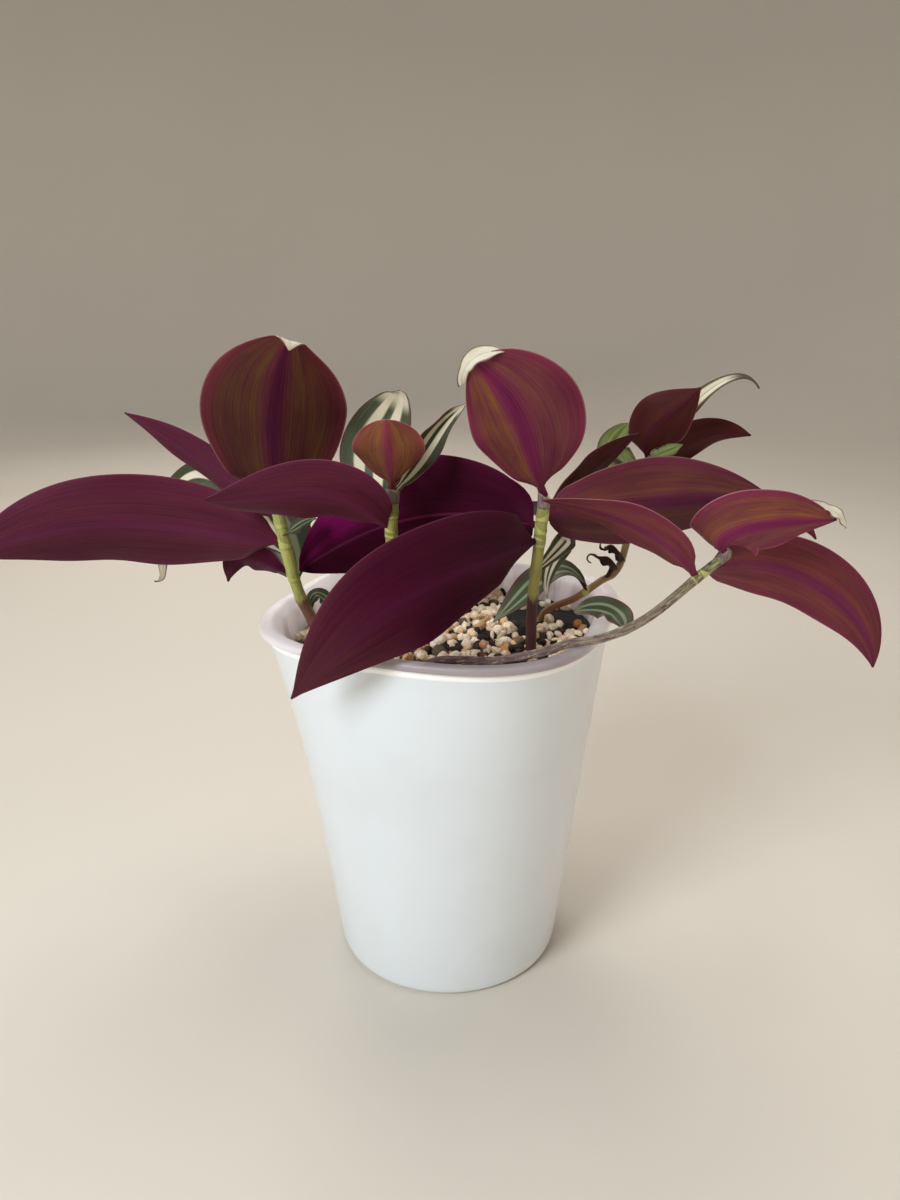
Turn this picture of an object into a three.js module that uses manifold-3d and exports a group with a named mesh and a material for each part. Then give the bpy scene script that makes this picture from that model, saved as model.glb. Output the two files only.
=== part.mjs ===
// A potted tradescantia: trailing stems with large striped leaves in a tapered white pot with an inner liner.
// Millimetres, +Z up, front towards -Y, origin at the centre of the pot's flat base.
import * as THREE from "three";
import { mergeVertices } from "three/addons/utils/BufferGeometryUtils.js";
import Module from "manifold-3d";

const wasm = await Module();
wasm.setup();

// Pot: round at the base, a soft square at the rim, turned a little on its base
const POT_HEIGHT = 110;
const POT_BASE_RADIUS = 34.7;
const POT_RIM_HALF = 47.7; // half the width across the flats
const POT_WALL = 2.2;
const POT_FLOOR = 3;
const POT_BULGE = 0.06; // how far the wall bows out of a straight taper
const POT_SIDES = 32;
const RIM_SQUARENESS = 2.97; // exponent of the rim's superellipse; 2 is a circle
const SQUARE_RISE = 4.2; // how late, going up, the circle turns square
const POT_TURN = THREE.MathUtils.degToRad(-19);

// Liner: a thin pot that hangs in the outer one by its thick lip
const CLEAR = 0.3; // gap between pieces that touch
const LINER_LIP_HALF = 49.4;
const LINER_LIP_WIDTH = 3.4;
const LINER_TOP = 112.4;
const LINER_GAP = 0.9; // between liner and outer pot wall
const LINER_WALL = 1.2;
const LINER_BOTTOM = 8;
const DRAIN_HOLES = 5;
const DRAIN_RADIUS = 3.5;
const DRAIN_SIDES = 12;

// Soil and the pumice grains that cover it
const SOIL_TOP = 102.6;
const GRAIN_COUNT = 98;
const GRAIN_RADII = [2.5, 3.3];
const GRAIN_SIDES = 5;
const GRAIN_TAPER = 0.62; // a grain's top radius over its root radius
const GRAIN_LENGTH = 2.4; // over its root radius; half of it is sunk in the soil
const GRAIN_TILT = 0.7; // radians between its two furthest leans
const GRAIN_REACH = 42; // distance of the outermost grain from the axis, across the flats

// Leaves and stems
const BLADE = 0.7; // thickness of a leaf
const NECK = 2.4; // width of a leaf where it leaves its sheath
const STALK = 4.5; // length of that narrow part, from the stem's middle
const TIP = 0.9; // width at the very tip
const SHEATH_WALL = 0.8;
const SHEATH_LENGTH = 2;
const BROAD = 17; // leaves wider than this get the finer grid
const STEM_SIDES = 8;
const STEM_STEP = 6; // length of a stem between two of its rings

const COLOURS = {
  pot: { color: 0xf1f3f5, roughness: 0.18 },
  liner: { color: 0xe3d6d8, roughness: 0.35 },
  soil: { color: 0xcbb391, roughness: 0.95 },
  stem: { color: 0x8a8c4a, roughness: 0.55 },
  leaf: { color: 0x5b1f42, roughness: 0.42 },
  striped: { color: 0x9aa889, roughness: 0.42 },
};

// Each stem: radius, and the points it passes through from the root to the tip.
const STEMS = {
  left: {
    radius: 1.8,
    through: [[-38, 6, 86], [-40, 4, 104], [-43, 0, 115], [-45, -4, 128], [-47, -6, 144]],
  },
  centre: {
    radius: 1.7,
    through: [[-15, -9, 86], [-15, -11, 104], [-14, -16, 124], [-14, -21, 138.5], [-13.2, -22.8, 150]],
  },
  front: {
    radius: 1.9,
    through: [[24, -17, 86], [24, -18, 104], [24, -20, 119], [25, -23, 134], [26, -26, 149]],
  },
  trailing: {
    radius: 1.5,
    through: [
      [-9, -20, 92], [-4, -27, 104], [13, -31, 106], [25, -34, 111], [32, -37, 116],
      [41, -40, 118.5], [52, -38, 121.5], [66, -31, 129], [73, -29, 134],
    ],
  },
  right: {
    radius: 1.5,
    through: [
      [28, 11, 86], [30, 11, 104], [40, 8, 111], [47, 8, 116], [53, 10, 120], [57, 14, 133], [62, 18, 151],
    ],
  },
  back: { radius: 1.6, through: [[0, 23, 86], [1, 24, 104], [1, 25, 117], [-1, 27, 132]] },
};

// Each leaf: how far up its stem it grows (0 root, 1 tip), three more points of its midrib evenly spaced
// to the tip, its width, and the way its upper face looks, at the base and (tipUp) at the tip. fold and cup
// raise its two halves, in degrees. blunt and sharp say how slender the outline is at the base and at the
// tip, and widest where along it the leaf is broadest. One that is part of its stem or of another leaf has
// no sheath; a tip that folds over starts from a root on the leaf it ends.
const AWAY = [0, 0.95, 0.3];
const TILTED = [0, 0.93, 0.37];
const SKYWARD = [0, 0.3, 0.95];
const PLAIN_LEAF = { fold: 5, cup: 15, blunt: 0.55, sharp: 0.85, widest: 0.42 };
const LEAVES = {
  left_long: {
    stem: "left", at: 0.82, width: 29, up: AWAY, blunt: 0.6, sharp: 0.6,
    midrib: [[-71, -14, 138.5], [-96, -20, 142], [-125, -22, 138]],
  },
  left_upright: {
    stem: "left", at: 1, width: 38.5, up: [-0.1, 0.92, 0.35], tipUp: [-0.1, 0.8, 0.6], fold: 4, cup: 5,
    blunt: 0.42, sharp: 0.9, widest: 0.44,
    midrib: [[-46, -9, 159], [-43, -17, 175], [-37, -28, 188]],
  },
  left_pointed: {
    stem: "left", at: 0.915, width: 12, up: [0.2, 0.9, 0.3],
    midrib: [[-66.5, 5, 152], [-78.8, 7, 160.5], [-91, 7, 168]],
  },
  left_arching: {
    stem: "left", at: 0.745, width: 20, up: [-0.3, -0.4, 0.9], blunt: 0.7, striped: true,
    midrib: [[-62.5, 10, 141], [-77, 13, 146], [-87, 13, 118]],
  },
  left_low: {
    stem: "left", at: 0.64, width: 11, up: [0, 0.8, 0.5], blunt: 0.8, sharp: 1.1,
    midrib: [[-52.5, -1.5, 125.5], [-59.7, -0.5, 126.5], [-63.9, 0, 119.5]],
  },
  left_back: {
    stem: "left", at: 0.55, width: 20, up: [-0.3, 0.1, 0.95], blunt: 0.7, striped: true,
    midrib: [[-50, 17, 128], [-60, 33, 135], [-70, 49, 129]],
  },
  left_bud: {
    stem: "left", at: 0.86, width: 5, up: [0, -0.5, 0.85], blunt: 0.4, partOf: "stem_left",
    midrib: [[-42.6, -7.4, 136.6], [-39.8, -7.2, 138.4], [-36, -6, 139.6]],
  },
  left_inner: {
    stem: "left", at: 0.36, width: 7, up: [0, -0.5, 0.9], blunt: 0.4, partOf: "stem_left",
    midrib: [[-39.5, 5.5, 113.2], [-37, 6.5, 112.3], [-32.5, 5.5, 109.5]],
  },
  centre_long: {
    stem: "centre", at: 0.765, width: 20, up: [0, 0.85, 0.5], blunt: 0.7,
    midrib: [[-28, -33, 151], [-43, -37, 152], [-58, -40, 152]],
  },
  centre_young: {
    stem: "centre", at: 1, width: 18.5, up: TILTED, tipUp: [0, 0.6, 0.8], blunt: 0.7, sharp: 0.75,
    widest: 0.5,
    midrib: [[-13.4, -25.2, 154], [-13.6, -29, 161.5], [-13.7, -33, 170]],
  },
  centre_rolled: {
    stem: "centre", at: 1, width: 8, up: [0.6, -0.7, 0.4], partOf: "leaf_centre_young",
    midrib: [[-6, -20, 159], [-1, -19, 166], [6, -18, 172]],
  },
  centre_striped: {
    stem: "centre", at: 0.88, width: 18, up: [0.2, -0.8, 0.5], blunt: 0.5, sharp: 0.45, widest: 0.5,
    striped: true,
    midrib: [[-20, -13, 155], [-16.5, 3, 165.3], [-12.5, 8, 173.5]],
  },
  front_hanging: {
    stem: "front", at: 0.8, width: 31, up: [0, 0.97, 0.25], fold: 2, cup: 8, sharp: 1.05, widest: 0.4,
    midrib: [[3, -44, 134], [-16, -54, 126], [-38, -50, 104]],
  },
  front_behind: {
    stem: "front", at: 0.86, width: 35, up: [0, 0.97, 0.2], fold: 1, cup: 6, sharp: 0.7,
    midrib: [[7, -12, 142], [-16, -3, 137], [-43, 2, 122]],
  },
  front_upright: {
    stem: "front", at: 1, width: 28.5, up: TILTED, fold: 3, cup: 6, blunt: 0.5, sharp: 0.6,
    widest: 0.47,
    midrib: [[24.5, -30, 159.5], [19.5, -34.5, 171], [7.5, -39.5, 184]],
  },
  front_tip: {
    stem: "front", at: 1, width: 3.6, up: [0.2, -0.8, 0.6], root: [4.8, -37.8, 178.5],
    partOf: "leaf_front_upright",
    midrib: [[4.4, -38.8, 182], [7.6, -39.6, 185.5], [14.5, -39.6, 186.2]],
  },
  front_right: {
    stem: "front", at: 0.92, width: 27, up: AWAY, fold: 2, cup: 10,
    midrib: [[48, -14, 144], [70, -6, 144], [94, 0, 143]],
  },
  front_narrow: {
    stem: "front", at: 0.92, width: 10, up: [0, 0.9, 0.4], partOf: "leaf_front_right",
    midrib: [[38, -8, 150], [47, 0, 156], [56, 5, 161]],
  },
  front_drooping: {
    stem: "front", at: 0.65, width: 6, up: [-0.3, -0.9, 0.2], partOf: "stem_front",
    midrib: [[33.5, -13, 134], [30.9, -11, 129], [29, -11, 117.3]],
  },
  front_fleck: {
    stem: "front", at: 0.92, width: 3, up: [0, -0.9, 0.4], partOf: "leaf_front_right",
    midrib: [[35.5, -10, 149], [41.3, -8, 151.7], [46.2, -7, 154]],
  },
  trailing_left: {
    stem: "trailing", at: 0.866, width: 13, up: [0, 0.7, 0.7], fold: 3, cup: 12, blunt: 0.8,
    midrib: [[52.5, -37, 141], [38.5, -39, 147.5], [24, -41, 151.4]],
  },
  trailing_top: {
    stem: "trailing", at: 1, width: 21, up: [0.35, 0.7, 0.4], tipUp: [0, 0.85, 0.35], fold: 8, cup: 10,
    blunt: 0.35, sharp: 0.85, widest: 0.28,
    midrib: [[71.5, -33, 139.5], [79.5, -36.5, 143.5], [98, -35, 144.5]],
  },
  trailing_tip: {
    stem: "trailing", at: 1, width: 3, up: [0.1, -0.8, 0.6], root: [90.7, -35.5, 148.6],
    partOf: "leaf_trailing_top",
    midrib: [[94, -35.6, 148], [97.5, -35.7, 146.2], [100.3, -35.7, 142.5]],
  },
  trailing_right: {
    stem: "trailing", at: 0.895, width: 22, up: AWAY, fold: 3, cup: 10, blunt: 0.75,
    midrib: [[91, -19, 128], [112, -17, 117.5], [122, -16, 97]],
  },
  trailing_small: {
    stem: "trailing", at: 1, width: 10, up: [0, 0.8, 0.6], partOf: "leaf_trailing_top",
    midrib: [[80, -15, 138], [94, -7, 139], [106, -5, 132]],
  },
  trailing_inner: {
    stem: "trailing", at: 0.68, width: 8.5, up: [0, -0.6, 0.8], blunt: 0.4, sharp: 0.6,
    partOf: "stem_trailing",
    midrib: [[45, -28, 118], [41, -24, 118.3], [35.5, -20, 116]],
  },
  right_upright: {
    stem: "right", at: 1, width: 18, up: [0.4, 0.85, 0.3], fold: 16, cup: 14, blunt: 0.5, sharp: 1,
    widest: 0.38,
    midrib: [[61, 15.5, 158.5], [65.8, 12.5, 165], [73.5, 8, 173.5]],
  },
  right_silver: {
    stem: "right", at: 1, width: 5.5, up: [-0.3, -0.8, 0.5], sharp: 1.2, widest: 0.35,
    partOf: "leaf_right_upright",
    midrib: [[71.4, 19, 164.5], [83.8, 19, 174.7], [93.2, 17, 172.3]],
  },
  right_flat: {
    stem: "right", at: 0.93, width: 14, up: [0, 0.9, 0.4], blunt: 0.7,
    midrib: [[75, 28, 154], [86, 30, 158], [96, 29, 157]],
  },
  right_round: {
    stem: "right", at: 0.87, width: 11, up: [0, -0.9, 0.4], blunt: 0.5, sharp: 0.6,
    partOf: "stem_right",
    midrib: [[51.5, 11, 151], [49.5, 11, 157], [53.5, 9, 163.5]],
  },
  right_shaded: {
    stem: "right", at: 0.87, width: 6, up: [0, -0.8, 0.5], partOf: "stem_right",
    midrib: [[55, 12, 150], [51, 11, 153.5], [47, 10, 156.5]],
  },
  right_sprout: {
    stem: "right", at: 1, width: 4, up: [0, -0.8, 0.5], partOf: "leaf_right_upright",
    midrib: [[65, 16, 153.5], [68, 15, 155], [71, 14, 156.5]],
  },
  right_back: {
    stem: "right", at: 0.82, width: 23, up: SKYWARD, striped: true,
    midrib: [[70, 30, 141], [82, 44, 142], [95, 56, 134]],
  },
  right_inner: {
    stem: "right", at: 0.4, width: 11, up: [0, -0.3, 0.95], striped: true,
    midrib: [[34, 4, 121], [24, -1, 116], [14, -8, 109]],
  },
  back_left: {
    stem: "back", at: 0.85, width: 26, up: SKYWARD, blunt: 0.75, striped: true,
    midrib: [[-13, 42, 137], [-27, 56, 138], [-41, 68, 129]],
  },
  back_right: {
    stem: "back", at: 0.736, width: 25, up: SKYWARD, striped: true,
    midrib: [[16, 38, 129], [32, 50, 128], [47, 60, 118]],
  },
  back_young: {
    stem: "back", at: 1, width: 12, up: [0, 0.6, 0.8], blunt: 1,
    midrib: [[3, 33, 139], [8, 40, 143], [14, 47, 142]],
  },
  scrap_low: {
    stem: "right", at: 0.55, width: 3, up: [0, 0.5, 0.8], partOf: "stem_right",
    midrib: [[50, 4, 121.5], [47.5, 2, 124], [44, 2, 126]],
  },
  scrap_high: {
    stem: "right", at: 0.7, width: 3, up: [0, 0.4, 0.8], partOf: "stem_right",
    midrib: [[52, 6, 124.5], [50, 4, 127], [48, 3, 127.5]],
  },
};

// A closed three.js geometry as a solid.
function toSolid(geometry) {
  geometry.deleteAttribute("normal");
  geometry.deleteAttribute("uv");
  const merged = mergeVertices(geometry, 1e-4);
  const index = merged.index.array;
  const triangles = [];
  for (let i = 0; i < index.length; i += 3) {
    const [a, b, c] = [index[i], index[i + 1], index[i + 2]];
    if (a !== b && b !== c && c !== a) triangles.push(a, b, c);
  }
  const vertProperties = new Float32Array(merged.attributes.position.array);
  const triVerts = new Uint32Array(triangles);
  return new wasm.Manifold(new wasm.Mesh({ numProp: 3, vertProperties, triVerts }));
}

// A solid as a named mesh in its own material; a scrap that a cut leaves loose is dropped.
function toMesh(name, solid, finish) {
  const body = solid.decompose().reduce((best, next) => (next.volume() > best.volume() ? next : best));
  const { vertProperties, triVerts } = body.getMesh();
  const geometry = new THREE.BufferGeometry();
  geometry.setAttribute("position", new THREE.BufferAttribute(vertProperties, 3));
  geometry.setIndex(new THREE.BufferAttribute(triVerts, 1));
  geometry.computeVertexNormals();
  const mesh = new THREE.Mesh(geometry, new THREE.MeshStandardMaterial({ metalness: 0, ...finish }));
  mesh.name = name;
  return mesh;
}

// Numbers from 0 to 1 that are the same at every run.
function seeded(seed) {
  let state = seed;
  return () => {
    state = (state + 0x6d2b79f5) | 0;
    let t = Math.imul(state ^ (state >>> 15), 1 | state);
    t = (t + Math.imul(t ^ (t >>> 7), 61 | t)) ^ t;
    return ((t ^ (t >>> 14)) >>> 0) / 4294967296;
  };
}

// How far the pot's soft square reaches in a direction, as a multiple of half its width across the flats.
function squareness(angle, height) {
  const rise = THREE.MathUtils.clamp(height / POT_HEIGHT, 0, 1) ** SQUARE_RISE;
  const power = 2 + (RIM_SQUARENESS - 2) * rise;
  const turned = angle - POT_TURN;
  return (Math.abs(Math.cos(turned)) ** power + Math.abs(Math.sin(turned)) ** power) ** (-1 / power);
}

// A profile of [half width, height] pairs turned about the pot's axis and squared off towards the rim.
function potSolid(profile) {
  const points = profile.map(([half, height]) => new THREE.Vector2(half, height));
  const geometry = new THREE.LatheGeometry(points, POT_SIDES).rotateX(Math.PI / 2);
  const position = geometry.attributes.position;
  for (let i = 0; i < position.count; i++) {
    const [x, y, z] = [position.getX(i), position.getY(i), position.getZ(i)];
    const factor = squareness(Math.atan2(y, x), z);
    position.setXY(i, x * factor, y * factor);
  }
  return toSolid(geometry);
}

// Half width of the outer pot's outside at a height, across the flats.
function potHalf(height) {
  const s = height / POT_HEIGHT;
  return POT_BASE_RADIUS + (POT_RIM_HALF - POT_BASE_RADIUS) * (s + POT_BULGE * s * (1 - s));
}

const WALL_HEIGHTS = [40, 70, 86, 98];
const LINER_INSET = POT_WALL + LINER_GAP + LINER_WALL; // from the pot's outside to the liner's inside

// Points of a wall that runs with the outer pot's outside, a given distance inside it.
function wall(inset, heights) {
  return heights.map((height) => [potHalf(height) - inset, height]);
}

function outerPot() {
  const foot = 3.2;
  const rim = POT_RIM_HALF;
  return potSolid([
    [0, 0],
    [POT_BASE_RADIUS - foot, 0],
    [POT_BASE_RADIUS - 0.9, 0.8],
    [POT_BASE_RADIUS + 0.3, foot],
    ...wall(0, WALL_HEIGHTS),
    [rim - 0.1, POT_HEIGHT - 1.1],
    [rim - 0.8, POT_HEIGHT],
    [rim - 1.5, POT_HEIGHT],
    [rim - POT_WALL, POT_HEIGHT - 0.9],
    ...wall(POT_WALL, WALL_HEIGHTS.toReversed()),
    [potHalf(POT_FLOOR) - POT_WALL - 1, POT_FLOOR],
    [0, POT_FLOOR],
  ]);
}

function innerLiner() {
  const lip = LINER_LIP_HALF;
  const under = POT_HEIGHT + CLEAR;
  const outside = POT_WALL + LINER_GAP;
  const floor = LINER_BOTTOM + LINER_WALL;
  const cup = potSolid([
    [0, LINER_BOTTOM],
    [potHalf(LINER_BOTTOM) - outside - 1.5, LINER_BOTTOM],
    [potHalf(LINER_BOTTOM) - outside, LINER_BOTTOM + 1.5],
    ...wall(outside, [...WALL_HEIGHTS, 108.6]),
    [POT_RIM_HALF - 2.4, under],
    [lip - 0.5, under],
    [lip, under + 0.5],
    [lip, LINER_TOP - 0.9],
    [lip - 0.5, LINER_TOP - 0.2],
    [lip - 1.3, LINER_TOP],
    [lip - LINER_LIP_WIDTH + 0.8, LINER_TOP - 0.2],
    [lip - LINER_LIP_WIDTH, LINER_TOP - 0.9],
    ...wall(LINER_INSET, [under, ...WALL_HEIGHTS.toReversed()]),
    [potHalf(floor) - LINER_INSET - 0.6, floor],
    [0, floor],
  ]);
  const reach = POT_BASE_RADIUS / 2;
  const middle = LINER_BOTTOM + LINER_WALL / 2;
  const holes = Array.from({ length: DRAIN_HOLES }, (_, i) => {
    const angle = (2 * Math.PI * i) / DRAIN_HOLES;
    const hole = new THREE.CylinderGeometry(DRAIN_RADIUS, DRAIN_RADIUS, 4 * LINER_WALL, DRAIN_SIDES);
    hole.rotateX(Math.PI / 2).translate(reach * Math.cos(angle), reach * Math.sin(angle), middle);
    return toSolid(hole);
  });
  return cup.subtract(wasm.Manifold.union(holes));
}

// What fits in the liner, up to a height.
function linerFilling(top) {
  const inset = LINER_INSET + CLEAR;
  const bottom = LINER_BOTTOM + LINER_WALL + CLEAR;
  return potSolid([
    [0, bottom],
    [potHalf(bottom) - inset - 1, bottom],
    ...wall(inset, [...WALL_HEIGHTS, top]),
    [0, top],
  ]);
}

// Pumice grains laid in a sunflower spiral over the soil, each a blunt stub turned and tilted at random.
function grains() {
  const random = seeded(7);
  const golden = Math.PI * (3 - Math.sqrt(5));
  return Array.from({ length: GRAIN_COUNT }, (_, i) => {
    const radius = THREE.MathUtils.lerp(...GRAIN_RADII, random());
    const angle = i * golden;
    const reach = GRAIN_REACH * Math.sqrt((i + 0.5) / GRAIN_COUNT) * squareness(angle, SOIL_TOP);
    const length = GRAIN_LENGTH * radius;
    const grain = new THREE.CylinderGeometry(GRAIN_TAPER * radius, radius, length, GRAIN_SIDES);
    grain.rotateX(Math.PI / 2).rotateZ(2 * Math.PI * random());
    grain.rotateX(GRAIN_TILT * (random() - 0.5)).rotateY(GRAIN_TILT * (random() - 0.5));
    return toSolid(grain.translate(reach * Math.cos(angle), reach * Math.sin(angle), SOIL_TOP));
  });
}

// A stem's centre line.
function stemCurve({ through }) {
  const points = through.map((point) => new THREE.Vector3(...point));
  return new THREE.CatmullRomCurve3(points, false, "catmullrom", 0.5);
}

// A round rod along a curve, run on past both ends by an overrun.
function rod(curve, radius, overrun = 0) {
  const circle = new THREE.Shape();
  for (let i = 0; i < STEM_SIDES; i++) {
    const angle = (2 * Math.PI * i) / STEM_SIDES;
    const [x, y] = [radius * Math.cos(angle), radius * Math.sin(angle)];
    if (i === 0) circle.moveTo(x, y);
    else circle.lineTo(x, y);
  }
  const steps = Math.ceil(curve.getLength() / STEM_STEP);
  const points = curve.getSpacedPoints(steps);
  points[0].addScaledVector(curve.getTangent(0), -overrun);
  points[steps].addScaledVector(curve.getTangent(1), overrun);
  const extrudePath = new THREE.CatmullRomCurve3(points);
  return toSolid(new THREE.ExtrudeGeometry(circle, { steps, bevelEnabled: false, extrudePath }));
}

// The room that a stem needs, with the gap all round and past its ends.
function stemRoom(curve, radius) {
  return rod(curve, radius + CLEAR, CLEAR);
}

// A short cylinder round a stem's centre line.
function collar(curve, at, radius, length, shift) {
  const tangent = curve.getTangent(at);
  const turn = new THREE.Quaternion().setFromUnitVectors(new THREE.Vector3(0, 1, 0), tangent);
  const cylinder = new THREE.CylinderGeometry(radius, radius, length, STEM_SIDES);
  const centre = curve.getPoint(at).addScaledVector(tangent, shift);
  return toSolid(cylinder.applyQuaternion(turn).translate(...centre));
}

// The cubic curve that passes through four points at even steps.
function midribCurve(a, b, c, d) {
  const blend = (...weights) =>
    new THREE.Vector3().addScaledVector(a, weights[0]).addScaledVector(b, weights[1])
      .addScaledVector(c, weights[2]).addScaledVector(d, weights[3]).divideScalar(6);
  return new THREE.CubicBezierCurve3(a, blend(-5, 18, -9, 2), blend(2, -9, 18, -5), d);
}

// Half the width of a leaf at t, from 0 where its stalk ends to 1 at its tip.
function halfWidth({ width, blunt, sharp, widest }, t) {
  const bulge = Math.sin(Math.PI * t ** (Math.log(0.5) / Math.log(widest)));
  const outline = Math.max(bulge, 0) ** THREE.MathUtils.lerp(blunt, sharp, t);
  return Math.max(0.5 * width * outline, 0.5 * THREE.MathUtils.lerp(NECK, TIP, t));
}

// A leaf's blade: a grid bent along its midrib, folded along it and cupped, split alike on both faces.
function blade(leaf, base) {
  const [b, c, d] = leaf.midrib.map((point) => new THREE.Vector3(...point));
  const curve = midribCurve(base, b, c, d);
  const [rows, columns] = leaf.width > BROAD ? [10, 4] : [8, 2];
  const baseUp = new THREE.Vector3(...leaf.up);
  const tipUp = new THREE.Vector3(...(leaf.tipUp ?? leaf.up));
  const fold = THREE.MathUtils.degToRad(leaf.fold);
  const cup = THREE.MathUtils.degToRad(leaf.cup);
  const upper = [];
  const lower = [];
  const stalk = STALK / (base.distanceTo(b) + b.distanceTo(c) + c.distanceTo(d));
  for (let row = 0; row <= rows; row++) {
    const onBlade = Math.max(row - 1, 0) / (rows - 1);
    const t = row === 0 ? 0 : THREE.MathUtils.lerp(stalk, 1, onBlade);
    const along = curve.getTangent(t);
    const up = baseUp.clone().lerp(tipUp, t).projectOnPlane(along).normalize();
    const side = new THREE.Vector3().crossVectors(along, up);
    const half = halfWidth(leaf, onBlade);
    for (let column = 0; column <= columns; column++) {
      const across = (2 * column) / columns - 1;
      const end = fold + cup * Math.abs(across);
      const out = Math.sign(across) * half * (Math.sin(end) - Math.sin(fold)) / cup;
      const rise = half * (Math.cos(fold) - Math.cos(end)) / cup;
      const middle = curve.getPoint(t).addScaledVector(side, out).addScaledVector(up, rise);
      const lean = across === 0 ? 0 : end;
      const outwards = -Math.sign(across) * Math.sin(lean);
      const face = up.clone().multiplyScalar(Math.cos(lean)).addScaledVector(side, outwards);
      upper.push(middle.clone().addScaledVector(face, BLADE / 2));
      lower.push(middle.clone().addScaledVector(face, -BLADE / 2));
    }
  }
  const count = upper.length;
  const at = (row, column) => row * (columns + 1) + column;
  const index = [];
  for (let row = 0; row < rows; row++) {
    for (let column = 0; column < columns; column++) {
      const [p, q] = [at(row, column), at(row, column + 1)];
      const [r, s] = [at(row + 1, column + 1), at(row + 1, column)];
      index.push(p, q, r, p, r, s);
      index.push(count + p, count + r, count + q, count + p, count + s, count + r);
    }
  }
  const edge = [];
  for (let column = 0; column < columns; column++) edge.push(at(0, column));
  for (let row = 0; row < rows; row++) edge.push(at(row, columns));
  for (let column = columns; column > 0; column--) edge.push(at(rows, column));
  for (let row = rows; row > 0; row--) edge.push(at(row, 0));
  edge.forEach((from, i) => {
    const to = edge[(i + 1) % edge.length];
    index.push(from, count + from, count + to, from, count + to, to);
  });
  const geometry = new THREE.BufferGeometry().setFromPoints([...upper, ...lower]);
  geometry.setIndex(index);
  return toSolid(geometry);
}

// Where a blade starts: on its stem, or for a tip that folds over, on the leaf that it ends.
function rootOf(leaf, curve) {
  return leaf.root ? new THREE.Vector3(...leaf.root) : curve.getPoint(leaf.at);
}

// A leaf with the sheath that holds it on its stem, clear of the stem itself.
function leafSolid(leaf, curve, radius) {
  const outer = radius + CLEAR + SHEATH_WALL;
  const isTip = leaf.at === 1;
  const length = isTip ? SHEATH_LENGTH + CLEAR + SHEATH_WALL : SHEATH_LENGTH;
  const shift = isTip ? (CLEAR + SHEATH_WALL - SHEATH_LENGTH) / 2 : 0;
  const sheath = collar(curve, leaf.at, outer, length, shift);
  return blade(leaf, curve.getPoint(leaf.at)).add(sheath).subtract(stemRoom(curve, radius));
}

const plant = new THREE.Group();
plant.add(toMesh("outer_pot", outerPot(), COLOURS.pot));
plant.add(toMesh("inner_liner", innerLiner(), COLOURS.liner));

const leaves = Object.entries(LEAVES).map(([name, shape]) => {
  return { name: `leaf_${name}`, ...PLAIN_LEAF, ...shape };
});
const rooms = [];
for (const [stemName, stem] of Object.entries(STEMS)) {
  const curve = stemCurve(stem);
  const room = stemRoom(curve, stem.radius);
  rooms.push(room);
  const own = leaves.filter((leaf) => leaf.stem === stemName);
  const grownInto = (name) =>
    own.filter((leaf) => leaf.partOf === name).map((leaf) => blade(leaf, rootOf(leaf, curve)));
  const rodName = `stem_${stemName}`;
  const leafyRod = wasm.Manifold.union([rod(curve, stem.radius), ...grownInto(rodName)]);
  plant.add(toMesh(rodName, leafyRod, COLOURS.stem));
  for (const leaf of own.filter((each) => !each.partOf)) {
    const joined = grownInto(leaf.name).map((each) => each.subtract(room));
    const solid = wasm.Manifold.union([leafSolid(leaf, curve, stem.radius), ...joined]);
    plant.add(toMesh(leaf.name, solid, leaf.striped ? COLOURS.striped : COLOURS.leaf));
  }
}

const heaped = wasm.Manifold.union(grains()).intersect(linerFilling(SOIL_TOP + 6));
const soil = linerFilling(SOIL_TOP).add(heaped).subtract(wasm.Manifold.union(rooms));
plant.add(toMesh("soil", soil, COLOURS.soil));

export default plant;
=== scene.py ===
"""Looks of a potted tradescantia: purple-backed striped leaves on fleshy stems, in pumice, a liner and a white pot.

Lengths are millimetres in the part's frame, and meshes are made from them in metres. The lengths in
shaders, geometry trees, the floor, the lights and the camera are metres.
"""

import logging
import math
from dataclasses import dataclass, field
from enum import Enum
from typing import Any, Optional, Sequence, Union

import bpy
import numpy as np
from mathutils import Matrix, Vector


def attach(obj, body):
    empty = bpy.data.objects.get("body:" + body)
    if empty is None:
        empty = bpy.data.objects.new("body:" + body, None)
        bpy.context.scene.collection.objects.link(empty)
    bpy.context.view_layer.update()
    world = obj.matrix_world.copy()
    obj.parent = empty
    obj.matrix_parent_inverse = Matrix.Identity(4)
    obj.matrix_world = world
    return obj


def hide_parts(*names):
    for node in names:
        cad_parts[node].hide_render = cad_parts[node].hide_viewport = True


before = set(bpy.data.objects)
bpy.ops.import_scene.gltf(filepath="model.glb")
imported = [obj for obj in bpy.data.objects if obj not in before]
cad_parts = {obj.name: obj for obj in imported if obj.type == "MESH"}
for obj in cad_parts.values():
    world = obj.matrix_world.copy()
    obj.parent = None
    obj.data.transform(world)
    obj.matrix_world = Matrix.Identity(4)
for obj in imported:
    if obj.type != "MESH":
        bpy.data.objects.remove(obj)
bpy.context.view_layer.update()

LOG = logging.getLogger("tradescantia")
MM = 0.001
Point = tuple[float, float, float]
Colour = tuple[float, float, float, float]

AWAY: Point = (0.0, 0.95, 0.3)
TILTED: Point = (0.0, 0.93, 0.37)
SKYWARD: Point = (0.0, 0.3, 0.95)


def paint(red: int, green: int, blue: int) -> Colour:
    """Turn a screen colour into the linear colour that shaders use.

    Args:
        red: Red from 0 to 255.
        green: Green from 0 to 255.
        blue: Blue from 0 to 255.

    Returns:
        Linear red, green, blue and an alpha of 1.
    """
    linear = [(c / 255 / 12.92) if c <= 10 else ((c / 255 + 0.055) / 1.055) ** 2.4 for c in (red, green, blue)]
    return (linear[0], linear[1], linear[2], 1.0)


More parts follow.
